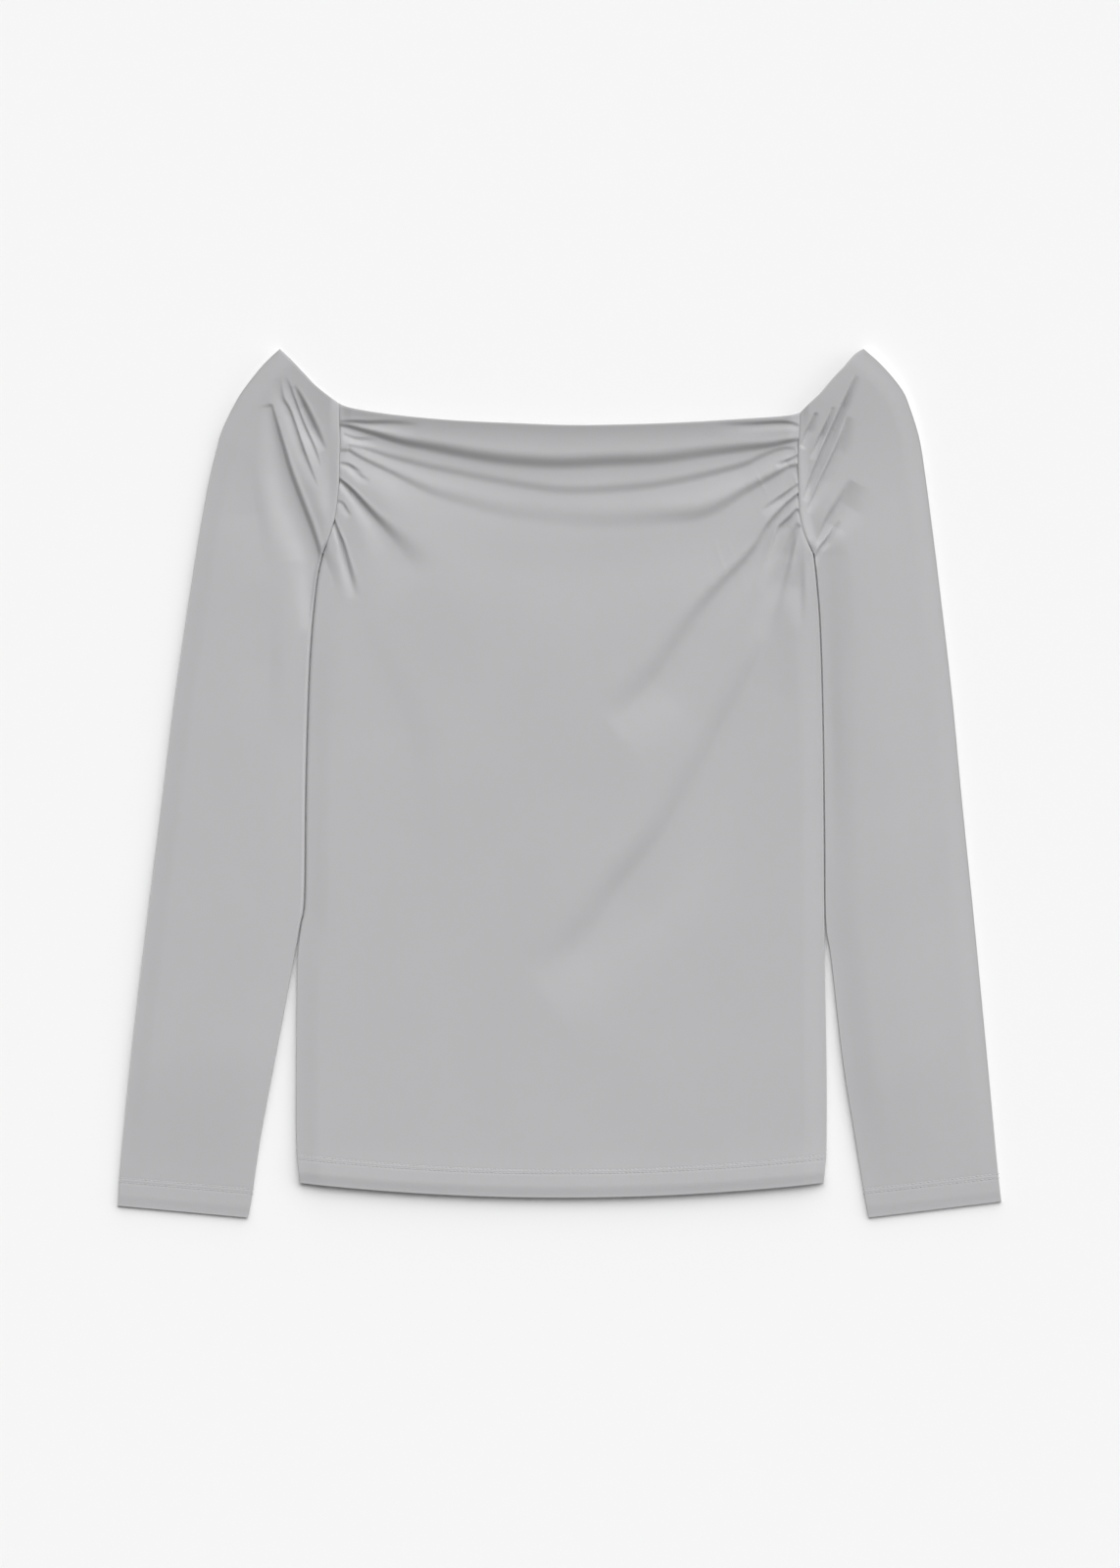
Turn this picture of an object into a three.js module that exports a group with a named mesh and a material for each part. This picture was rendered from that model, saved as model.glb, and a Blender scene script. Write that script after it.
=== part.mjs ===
// An off-shoulder top in thin grey jersey with long sleeves, laid flat on its back with the front up.
// It has the four pieces that are cut for it: front, back and two sleeves, with gathered armhole seams.
// Millimetres. X runs across the garment, to the right of someone who looks down at its front.
// Y runs from the hem up to the neckline, and Z is up. The back lies on Z = 0.
import * as THREE from "three";

// Driving sizes
const CLOTH = 1.3; // wall of every piece
const SEAM_HALF = 0.15; // each piece stops this far from its seam, measured across the garment
const FRONT_TOP = 5.2; // top of the front panel above the floor, away from its folds
const SLEEVE_TOP = 4.8; // the same on a sleeve
const NECK_TOP = 5.6; // height of the front along its neckline edge
const HEM_TOP = 4.4; // height of the front along its hem
const NECK_EASE = 16; // the cloth eases from edge height to full height over this distance
const HEM_EASE = 30;
const HEM_DEPTH = 19; // hem and cuffs are turned up by this much
const HEM_EXTRA = 0.5; // what the turned-up layer adds inside
const SEAM_TOP = 4.6; // height of the cloth along the armhole seams, where it sinks a little
const SEAM_EASE = 4;
const SEAM_PINCH = 0.65; // the share of a fold's height that its seam takes away
const LAYER_GAP = 0.35; // least space between the front and what lies under it
const SIDE_GAP = 0.45; // between the body's side and the sleeve beside it
const BACK_NECK_DROP = 4; // the back's neckline is lower than the front's by this, at its middle
const BACK_HEM_RISE = 3; // and its hem is shorter by this
const ROLL_SHARE = 0.9; // from here down the armhole, the edges start to roll towards the underarm
const SLEEVE_CROWN = 0.6; // how much fuller the middle of a sleeve is than its edges

// The rows of the body fan out from the gathered seams, and sag to these heights at the middle.
const NECK_MIDDLE = 255.5;
const FAN_DEPTH = 326;
const FAN_POWER = 1.42;
const HEM_MIDDLE = -295.5;
const HEM_CORNER = -285;
const HEM_HALF_WIDTH = 189;
const UNDERARM = 163.5;
const NECK_FADE = 0.12; // the share of the armhole over which the curve of the neckline dies away

// Grid sizes. At the armholes the sleeves and the back have every second row of the front.
const ARMHOLE_ROWS = 44;
const ROW_SKIP = 2;
const FRONT_COLUMNS = 24;
const BACK_COLUMNS = 6;
const SLEEVE_COLUMNS = 20;
const SLEEVE_BACK_COLUMNS = 2;
const ROLL_STEPS = 2; // faces in each quarter turn of a rolled edge
const CROWDING = 0.6; // how much closer the body's columns stand at the seams than in the middle
// Powers that bring a sleeve's columns closer to its seam: at the neckline, at the underarm and further down.
const SLEEVE_CROWDING = [1.1, 2, 1.5];
const CROWDING_FADE = 0.25; // the share of the sleeve below the underarm over which it changes

// Rows below the underarm, by their drop from it. The body and the sleeves share the first of them.
const SIDE_DROPS = [0, 12, 30, 55, 90, 140, 195, 244, 262, 281];
const BODY_DROPS = [310, 345, 388];
const SLEEVE_DROPS = [315, 350, 400];

// Outlines seen from above. Columns: x, y.
const NECKLINE = [
  [-157, 271], [-147.5, 267.5], [-119.5, 263], [-77.5, 259], [-35.5, 257], [6.5, 255.5],
  [48.5, 256], [90.5, 257.5], [132.5, 260], [160.5, 262], [171.5, 263.5],
];
const ARMHOLE = {
  right_sleeve: [
    [-157, 271], [-157, 258.5], [-156.5, 244.5], [-157, 230.5], [-157, 217.5], [-158.5, 202],
    [-160.5, 188.5], [-164.5, 175.5], [-169, 163.5],
  ],
  left_sleeve: [
    [171.5, 263.5], [171, 251], [170, 232], [170.5, 212.5], [171, 193], [174.5, 178], [181.5, 163.5],
  ],
};
const BODY_SIDE = {
  right_sleeve: [
    [-169, 163.5], [-173, 145], [-176.5, 111.5], [-179, 69.5], [-181, 0], [-182, -81],
    [-184.5, -98.5], [-187, -118], [-188, -147.5], [-188.5, -217], [-188.2, -258], [-186, -285],
  ],
  left_sleeve: [
    [181.5, 163.5], [183.5, 145], [186, 111.5], [188, 48], [189, -35.5], [189.5, -97],
    [190, -140.5], [191, -200], [191, -258], [189, -285],
  ],
};
const SLEEVE_INNER = {
  right_sleeve: [
    [-169, 163.5], [-173, 145], [-176.5, 111.5], [-179, 69.5], [-181, 0], [-182, -81],
    [-185, -102], [-192, -140.5], [-202.5, -196.5], [-213, -252.5], [-220, -300], [-222.5, -310],
  ],
  left_sleeve: [
    [181.5, 163.5], [183.5, 145], [186, 111.5], [188, 48], [189, -35.5], [189.5, -97],
    [193.5, -126.5], [201.5, -196.5], [210.5, -252.5], [219.5, -305.5], [222, -310],
  ],
};
const SLEEVE_TOP_FOLD = {
  right_sleeve: [
    [-199.5, 310], [-212, 298], [-225.5, 281], [-233, 268.5], [-241, 251.5], [-245, 237.5],
    [-251.5, 209.5], [-259.5, 163.5],
  ],
  left_sleeve: [
    [217, 310], [230.5, 298], [244.5, 281], [250.5, 267], [255.5, 251.5], [258.5, 237.5],
    [262.5, 209.5], [268.5, 163],
  ],
};
const SLEEVE_OUTER = {
  right_sleeve: [
    [-259.5, 163.5], [-273.5, 69.5], [-284, -14.5], [-294.5, -98.5], [-304.5, -182.5],
    [-313, -266.5], [-315.5, -301.5],
  ],
  left_sleeve: [
    [268.5, 163], [279.5, 69.5], [287.5, -14.5], [296, -98.5], [304, -182.5], [312, -266.5],
    [315.5, -298.5],
  ],
};
const SLEEVE_NECK = {
  right_sleeve: [[-157, 271], [-166, 277.5], [-174.5, 284.5], [-182.5, 293], [-191, 302], [-199.5, 310]],
  left_sleeve: [[171.5, 263.5], [177, 269], [185.5, 277.5], [194, 288], [202.5, 297], [210.5, 306], [217, 310]],
};

// Folds: the path seen from above, then the half width and the height at its start, middle and end.
// A negative height is a trough, which has soft shoulders, and a positive one is a ridge.
const FRONT_FOLDS = [
  // the swags that hang from seam to seam under the neckline
  { path: [[-154, 258.5], [-113.5, 257.5], [-76.5, 254.5], [-7.5, 250]],
    halfWidth: [1.6, 2.5, 3], height: [-1.3, -1.1, -0.2] },
  { path: [[168, 258], [153, 258.5], [136, 258], [111.5, 256]],
    halfWidth: [1.5, 2, 2.5], height: [-1, -0.8, 0] },
  { path: [[-150, 258], [-89, 245], [-27, 237], [24, 236], [98.5, 243], [160, 248]],
    halfWidth: [2, 9, 2], height: [0, -1.2, 0] },
  { path: [[-156, 256], [-89, 239], [-27, 230], [24, 229], [98.5, 236.5], [168.5, 245.5]],
    halfWidth: [1.6, 4, 1.8], height: [-1.6, -2.4, -1.8] },
  { path: [[-154.5, 239.5], [-104.5, 228], [-20.5, 212.5], [20.5, 208.5], [92.5, 219], [168, 240]],
    halfWidth: [1.5, 4.2, 1.6], height: [-1.3, -1.9, -1.5] },
  { path: [[-153.5, 238.5], [-132.5, 225], [-91.5, 207], [-28.5, 193], [34.5, 189], [98.5, 197],
    [145.5, 219], [168, 228.5]],
    halfWidth: [1.6, 8, 2], height: [-0.9, -1.3, -2.2] },
  { path: [[-153.5, 249.5], [-91.5, 231.5], [-20.5, 222], [20.5, 221], [104.5, 229.5], [166, 242.5]],
    halfWidth: [1.6, 4.5, 1.6], height: [0.8, 1.3, 0.8] },
  { path: [[-133.5, 231.5], [-84.5, 215], [20.5, 200], [90.5, 209.5], [153.5, 231.5]],
    halfWidth: [2, 6, 2.5], height: [0.5, 0.8, 0.7] },
  // gathers at the seam of the wearer's right sleeve, from the neckline down
  { path: [[-153.5, 247], [-144, 247], [-133.5, 246.5], [-125.5, 244.5]],
    halfWidth: [1.5, 1.8, 1.8], height: [-1.2, -1, 0] },
  { path: [[-154, 229], [-144, 227.5], [-135, 223], [-128, 219.5]],
    halfWidth: [1.5, 1.9, 2], height: [-1.4, -1.1, 0] },
  { path: [[-153, 224.5], [-139.5, 218], [-125.5, 209.5]],
    halfWidth: [1.5, 2, 2], height: [-0.7, -0.5, 0] },
  { path: [[-157, 217], [-142, 202.5], [-123, 184], [-82.5, 151.5], [-38.5, 118.5]],
    halfWidth: [1.6, 6, 12], height: [-2.2, -1.5, 0] },
  { path: [[-151, 195.5], [-119.5, 157], [-84.5, 125.5]],
    halfWidth: [2, 8, 12], height: [0.6, 0.8, 0] },
  { path: [[-157, 201], [-152.5, 196.5], [-146.5, 187.5]],
    halfWidth: [1.5, 1.7, 1.8], height: [-0.9, -0.6, 0] },
  { path: [[-160, 188.5], [-153, 166], [-145, 137.5], [-136.5, 111.5], [-125.5, 76.5]],
    halfWidth: [1.5, 3.2, 8], height: [-2.2, -1.5, 0] },
  { path: [[-133.5, 111.5], [-116, 55.5], [-102, -0.5], [-91.5, -42.5]],
    halfWidth: [6, 12, 14], height: [-0.4, -0.6, 0] },
  // gathers at the seam of the wearer's left sleeve, from the neckline down
  { path: [[168.5, 253], [160.5, 251.5], [146.5, 249.5]],
    halfWidth: [1.4, 1.7, 2], height: [-0.8, -0.6, 0] },
  { path: [[168, 233.5], [160.5, 231.5], [150, 228]],
    halfWidth: [1.4, 1.8, 1.8], height: [-1.2, -0.9, 0] },
  { path: [[169.5, 214.5], [158, 207.5], [143, 193.5]],
    halfWidth: [1.5, 2, 2.4], height: [-1.3, -1, 0] },
  { path: [[169.5, 209.5], [152, 193], [136.5, 172], [105, 122], [61, 81], [34.5, 48.5]],
    halfWidth: [1.8, 8, 14], height: [-1.8, -2.2, 0] },
  { path: [[160.5, 188.5], [136, 146.5], [104.5, 101], [69.5, 55.5], [34.5, 6.5]],
    halfWidth: [2, 11, 16], height: [0.8, 1.4, 0] },
  { path: [[170, 196.5], [163, 188.5], [156, 181], [147.5, 166.5]],
    halfWidth: [1.7, 2.4, 3.2], height: [-2, -1.5, 0] },
  { path: [[152, 174.5], [142.5, 159], [133, 134]],
    halfWidth: [2.4, 3, 4], height: [-0.8, -0.7, 0] },
  { path: [[171, 184], [164.5, 168.5], [157.5, 136], [152.5, 111.5]],
    halfWidth: [1.8, 2.6, 3.4], height: [-1.8, -1.6, 0] },
  { path: [[153.5, 159.5], [138, 113], [103.5, 32.5], [76.5, -9.5], [46, -52], [19, -82.5], [-19.5, -125]],
    halfWidth: [4, 11, 17], height: [-0.8, -2.2, 0] },
  { path: [[146.5, 111.5], [115, 27.5], [83.5, -35.5], [48.5, -84.5], [13.5, -130]],
    halfWidth: [6, 14, 18], height: [0.3, 1.2, 0] },
  { path: [[173, 174.5], [173, 146.5], [173.5, 111.5]],
    halfWidth: [2, 2.6, 3], height: [-0.9, -0.6, 0] },
];
const SLEEVE_FOLDS = {
  right_sleeve: [
    { path: [[-204, 276], [-197, 234], [-188, 202.5], [-177.5, 178], [-171, 160.5]],
      halfWidth: [3.4, 5, 4], height: [-0.3, -2.2, -2] },
    { path: [[-199.5, 288], [-192.5, 265.5], [-186, 249.5], [-179.5, 230.5], [-172, 208]],
      halfWidth: [2.8, 3.4, 3], height: [-0.4, -1.5, 0] },
    { path: [[-192.5, 287], [-182, 256], [-169.5, 226.5]],
      halfWidth: [2.8, 3.2, 2.8], height: [-0.4, -1.4, 0] },
    { path: [[-184.5, 281], [-175.5, 262.5], [-164.5, 241]],
      halfWidth: [2.6, 3, 2.6], height: [-0.4, -1.5, 0] },
    { path: [[-209, 268], [-204, 234], [-196, 202.5], [-185, 172]],
      halfWidth: [3, 5, 4], height: [0, 0.7, 0.5] },
    { path: [[-220, 240.5], [-212, 188.5], [-204.5, 146.5]],
      halfWidth: [5, 8, 8], height: [0, -0.6, 0] },
    { path: [[-200, 139.5], [-201.5, 90], [-202, 27.5]],
      halfWidth: [6, 9, 9], height: [0, -0.5, 0] },
  ],
  left_sleeve: [
    { path: [[207, 284.5], [194, 254], [183.5, 228], [174.5, 205.5]],
      halfWidth: [2.8, 3.4, 2.8], height: [-0.4, -2, -0.8] },
    { path: [[194, 271], [187.5, 253], [178, 236]],
      halfWidth: [2.6, 3, 2.6], height: [-0.3, -1.3, 0] },
    { path: [[203, 247], [192, 222], [180.5, 195.5]],
      halfWidth: [2.8, 3.6, 2.8], height: [-0.3, -1.7, -0.4] },
    { path: [[217.5, 226], [205.5, 207], [196, 192], [185, 174.5]],
      halfWidth: [6, 6, 4], height: [0, -1.3, -0.6] },
    { path: [[197.5, 182], [190.5, 172], [183, 161]],
      halfWidth: [2.8, 3.6, 3.4], height: [-0.3, -1.6, -1.8] },
    { path: [[181.5, 263.5], [177, 251.5], [173.5, 240]],
      halfWidth: [2.4, 2.8, 2.4], height: [-0.5, -1.4, -0.5] },
    { path: [[196.5, 139.5], [197.5, 41.5], [201, -56.5]],
      halfWidth: [5, 7, 7], height: [-0.5, -0.7, 0] },
  ],
};

const GREY = 0xb3b2b4;
const mix = (a, b, t) => a + (b - a) * t;
const clamp01 = (t) => Math.min(Math.max(t, 0), 1);
const smooth = (t) => clamp01(t) ** 2 * (3 - 2 * clamp01(t));

// A smooth curve through the points, read by its share of length.
const curveOf = (points) => new THREE.SplineCurve(points.map(([x, y]) => new THREE.Vector2(x, y)));
function along(points) {
  const curve = curveOf(points);
  return (share) => curve.getPointAt(clamp01(share));
}

// The same curve, read where its x or its y has the given value.
const HALVINGS = 40;
function crossing(points, axis) {
  const curve = curveOf(points);
  const [first, last] = [points[0], points.at(-1)].map(([x, y]) => ({ x, y })[axis]);
  const rising = Math.sign(last - first);
  return (value) => {
    let low = 0;
    let high = 1;
    for (let i = 0; i < HALVINGS; i++) {
      const half = (low + high) / 2;
      if (rising * (curve.getPoint(half)[axis] - value) < 0) low = half;
      else high = half;
    }
    return curve.getPoint((low + high) / 2);
  };
}

// The parabola through three values at 0, 1/2 and 1.
function throughThree([start, middle, end], t) {
  return start * (1 - t) * (1 - 2 * t) + middle * 4 * t * (1 - t) + end * t * (2 * t - 1);
}

const RIDGE_FALL = 1.2;
const TROUGH_FALL = 1.1;
const SHOULDER = 1.6;
const crossSection = (q, sign) =>
  sign > 0 ? Math.exp(-RIDGE_FALL * q * q) : (1 - SHOULDER * q * q) * Math.exp(-TROUGH_FALL * q * q);

// The sum of the folds at a point, from the nearest place on each fold's path.
const PATH_STEPS = 24;
const REACH = 3; // half widths beyond which a fold is nil
function reliefOf(folds) {
  const sampled = folds.map((fold) => ({ ...fold, points: curveOf(fold.path).getSpacedPoints(PATH_STEPS) }));
  return (x, y) => {
    let sum = 0;
    for (const { points, halfWidth, height } of sampled) {
      let nearest = Infinity;
      let share = 0;
      for (let i = 0; i < PATH_STEPS; i++) {
        const from = points[i];
        const dx = points[i + 1].x - from.x;
        const dy = points[i + 1].y - from.y;
        const t = clamp01(((x - from.x) * dx + (y - from.y) * dy) / (dx * dx + dy * dy));
        const distance = Math.hypot(from.x + t * dx - x, from.y + t * dy - y);
        if (distance < nearest) {
          nearest = distance;
          share = (i + t) / PATH_STEPS;
        }
      }
      const q = nearest / throughThree(halfWidth, share);
      if (q < REACH) sum += throughThree(height, share) * crossSection(q, height[1]);
    }
    return sum;
  };
}

// A cloth wall as one closed solid, from matching grids of outer and inner points.
// Where closed(row) is true, the row's two ends are one point, so those rows make a tube.
function clothWall(outer, inner, closed = () => false) {
  const rows = outer.length;
  const last = outer[0].length - 1;
  const positions = [];
  const store = (grid) =>
    grid.map((row, i) => {
      const ids = row.slice(0, closed(i) ? last : last + 1).map((p) => positions.push(...p) / 3 - 1);
      return closed(i) ? [...ids, ids[0]] : ids;
    });
  const out = store(outer);
  const into = store(inner);
  const faces = [];
  const quad = (a, b, c, d) => faces.push(a, b, c, a, c, d);
  for (let i = 0; i < rows - 1; i++) {
    for (let j = 0; j < last; j++) {
      // Each quad is split along its more level diagonal, so that folds stay smooth.
      const rise = Math.abs(outer[i][j][2] - outer[i + 1][j + 1][2]);
      const otherRise = Math.abs(outer[i + 1][j][2] - outer[i][j + 1][2]);
      if (rise <= otherRise) {
        quad(out[i][j], out[i + 1][j], out[i + 1][j + 1], out[i][j + 1]);
        quad(into[i][j], into[i][j + 1], into[i + 1][j + 1], into[i + 1][j]);
      } else {
        quad(out[i][j + 1], out[i][j], out[i + 1][j], out[i + 1][j + 1]);
        quad(into[i + 1][j], into[i][j], into[i][j + 1], into[i + 1][j + 1]);
      }
    }
    if (closed(i) && closed(i + 1)) continue;
    quad(out[i][0], into[i][0], into[i + 1][0], out[i + 1][0]);
    quad(out[i][last], out[i + 1][last], into[i + 1][last], into[i][last]);
  }
  const end = rows - 1;
  for (let j = 0; j < last; j++) {
    quad(out[0][j], out[0][j + 1], into[0][j + 1], into[0][j]);
    quad(out[end][j], into[end][j], into[end][j + 1], out[end][j + 1]);
  }
  const geometry = new THREE.BufferGeometry();
  geometry.setAttribute("position", new THREE.Float32BufferAttribute(positions, 3));
  geometry.setIndex(signedVolume(positions, faces) < 0 ? faces.reverse() : faces);
  geometry.computeVertexNormals();
  return geometry;
}

function signedVolume(positions, faces) {
  const [a, b, c] = [new THREE.Vector3(), new THREE.Vector3(), new THREE.Vector3()];
  let sum = 0;
  for (let i = 0; i < faces.length; i += 3) {
    a.fromArray(positions, faces[i] * 3);
    b.fromArray(positions, faces[i + 1] * 3);
    c.fromArray(positions, faces[i + 2] * 3);
    sum += a.dot(b.cross(c));
  }
  return sum / 6;
}

// One place on a rolled edge: how far in from the edge and how far below the top of the cloth.
// turn is 0 where the cloth is level and 1 at the very edge. With roll 0 the edge stays level.
function rolled(turn, radius, wall, roll) {
  const angle = (turn * Math.PI) / 2;
  const flat = radius * (1 - turn);
  return {
    outIn: mix(flat, radius * (1 - Math.sin(angle)), roll),
    outDown: mix(0, radius * (1 - Math.cos(angle)), roll),
    inIn: mix(flat, radius - (radius - wall) * Math.sin(angle), roll),
    inDown: mix(wall, radius - (radius - wall) * Math.cos(angle), roll),
    keep: mix(1, 1 - Math.sin(angle), roll),
  };
}

// The rows of the body, from the neckline to the hem, each with its ends, its depth at the middle and its roll.
function bodyRows({ neckDrop, hemRise, skip }) {
  const names = ["right_sleeve", "left_sleeve"];
  const armholes = names.map((name) => crossing(ARMHOLE[name], "y"));
  const sides = names.map((name) => crossing(BODY_SIDE[name], "y"));
  const tops = names.map((name) => ARMHOLE[name][0][1]);
  const rows = [];
  const push = (ends, inset, middle, more) => {
    const [left, right] = ends;
    left.x += inset;
    right.x -= inset;
    rows.push({ left, right, middle, ...more });
  };
  for (let i = 0; i < ARMHOLE_ROWS; i += skip) {
    const share = i / ARMHOLE_ROWS;
    const ends = armholes.map((read, k) => read(mix(tops[k], UNDERARM, share)));
    const middle = NECK_MIDDLE - FAN_DEPTH * share ** FAN_POWER - neckDrop * (1 - share);
    push(ends, SEAM_HALF, middle, { armhole: share, roll: rollAt(share), hem: 0 });
  }
  const depth = UNDERARM - HEM_CORNER - hemRise;
  const hemEnd = HEM_MIDDLE + hemRise;
  for (const [drop, hem] of [...SIDE_DROPS, ...BODY_DROPS].map((drop) => [drop, 0]).concat(hemRows(depth))) {
    const toHem = drop / (depth - HEM_DEPTH);
    const middle = toHem < 1 ? mix(NECK_MIDDLE - FAN_DEPTH, hemEnd + HEM_DEPTH, toHem) : hemEnd + depth - drop;
    push(sides.map((read) => read(UNDERARM - drop)), SIDE_GAP / 2, middle, { armhole: 1, roll: 1, hem });
  }
  return rows;
}

// The last rows, as drop and turned-up share: where the turned-up layer ends, and the edge itself.
const hemRows = (depth) => [[depth - HEM_DEPTH - 1, 0], [depth - HEM_DEPTH, 1], [depth, 1]];
const rollAt = (share) => smooth((share - ROLL_SHARE) / (1 - ROLL_SHARE));

// The neckline is fuller at its ends than the parabola of the rows.
// This is the difference, by the share across.
const neckline = crossing(NECKLINE, "x");
function neckFullness(share) {
  const [from, to] = [NECKLINE[0], NECKLINE.at(-1)];
  return neckline(mix(from[0], to[0], share)).y - rowHeight(from[1], to[1], NECK_MIDDLE, share);
}

function rowHeight(left, right, middle, share) {
  return mix(left, right, share) + (1 - (1 - 2 * share) ** 2) * (middle - (left + right) / 2);
}

function rowPoint(row, distance) {
  const width = row.right.x - row.left.x;
  const share = distance / width;
  const fullness = neckFullness(clamp01(share)) * clamp01(1 - row.armhole / NECK_FADE);
  return [row.left.x + distance, rowHeight(row.left.y, row.right.y, row.middle, share) + fullness];
}

// Distances from the left end of a row, in its level part, closer together at both seams.
function columnsAcross(width, radius, count) {
  const places = [];
  for (let i = 0; i <= count; i++) {
    const s = i / count;
    places.push(mix(radius, width - radius, s - (CROWDING * Math.sin(2 * Math.PI * s)) / (2 * Math.PI)));
  }
  return places;
}

// How near a place is to the armhole seam, from 0 to 1. Rows below the underarm have no such seam.
const nearSeam = (row, distance) => (1 - row.roll) * (1 - smooth(distance / SEAM_EASE));

// The height of the cloth with its folds, with no fold deeper than the layers below allow.
function folded(level, relief, seam) {
  const top = mix(level, SEAM_TOP, seam);
  const room = top - CLOTH * 2 - LAYER_GAP;
  const pinched = relief * (1 - SEAM_PINCH * seam);
  return { top, relief: pinched < 0 ? -room * Math.tanh(-pinched / room) : pinched };
}

const frontRelief = reliefOf(FRONT_FOLDS);
const hemLine = (x) => mix(HEM_MIDDLE, HEM_CORNER, (x / HEM_HALF_WIDTH) ** 2);

// Height of the front's upper side at a place.
function frontLevel(x, y, row) {
  const fromNeck = smooth((neckline(x).y - y) / NECK_EASE);
  const fromHem = smooth((y - hemLine(x)) / HEM_EASE);
  const level = mix(NECK_TOP, FRONT_TOP, fromNeck) - (FRONT_TOP - HEM_TOP) * (1 - fromHem);
  return folded(level, frontRelief(x, y), nearSeam(row, Math.min(x - row.left.x, row.right.x - x)));
}

// The front and the back are the same grid, the back turned over and kept flat.
function bodyPanel({ isBack }) {
  const rows = bodyRows(
    isBack
      ? { neckDrop: BACK_NECK_DROP, hemRise: BACK_HEM_RISE, skip: ROW_SKIP }
      : { neckDrop: 0, hemRise: 0, skip: 1 },
  );
  const outer = [];
  const inner = [];
  for (const row of rows) {
    const width = row.right.x - row.left.x;
    const wall = CLOTH + HEM_EXTRA * row.hem;
    const edgeTop = frontLevel(row.left.x, row.left.y, row).top;
    const radius = edgeTop / 2 - SEAM_HALF;
    const outerRow = [];
    const innerRow = [];
    const add = (distance, place) => {
      const [x, y] = rowPoint(row, distance(place.outIn));
      const [innerX, innerY] = rowPoint(row, distance(place.inIn));
      if (isBack) {
        outerRow.push([x, y, place.outDown]);
        innerRow.push([innerX, innerY, place.inDown]);
        return;
      }
      const { top, relief } = frontLevel(x, y, row);
      const height = mix(top, edgeTop, row.roll * (1 - place.keep)) + relief * place.keep;
      outerRow.push([x, y, height - place.outDown]);
      innerRow.push([innerX, innerY, height - place.inDown]);
    };
    for (let k = 0; k < ROLL_STEPS; k++) {
      add((inward) => inward, rolled(1 - k / ROLL_STEPS, radius, wall, row.roll));
    }
    for (const distance of columnsAcross(width, radius, isBack ? BACK_COLUMNS : FRONT_COLUMNS)) {
      add(() => distance, rolled(0, radius, wall, row.roll));
    }
    for (let k = 1; k <= ROLL_STEPS; k++) {
      add((inward) => width - inward, rolled(k / ROLL_STEPS, radius, wall, row.roll));
    }
    outer.push(outerRow);
    inner.push(innerRow);
  }
  return clothWall(outer, inner);
}

// The rows of a sleeve, from the neckline edge to the cuff, from the seam or inner edge out to the top fold.
function sleeveRows(name) {
  const armhole = crossing(ARMHOLE[name], "y");
  const topFold = along(SLEEVE_TOP_FOLD[name]);
  const inner = crossing(SLEEVE_INNER[name], "y");
  const outer = along(SLEEVE_OUTER[name]);
  const neck = along(SLEEVE_NECK[name]);
  const inward = Math.sign(ARMHOLE[name][0][0]);
  const neckEnd = ARMHOLE[name][0][1];
  const rows = [];
  const push = (from, gap, to, more) => {
    from.x += inward * gap;
    rows.push({ from, to, neck, ...more });
  };
  for (let i = 0; i < ARMHOLE_ROWS; i += ROW_SKIP) {
    const share = i / ARMHOLE_ROWS;
    const from = armhole(mix(neckEnd, UNDERARM, share));
    push(from, SEAM_HALF, topFold(share), { armhole: share, roll: rollAt(share), hem: 0 });
  }
  const length = UNDERARM - SLEEVE_INNER[name].at(-1)[1];
  for (const [drop, hem] of [...SIDE_DROPS, ...SLEEVE_DROPS].map((drop) => [drop, 0]).concat(hemRows(length))) {
    const down = drop / length;
    push(inner(UNDERARM - drop), SIDE_GAP / 2, outer(down), { armhole: 1, roll: 1, down, hem });
  }
  return rows;
}

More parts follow.
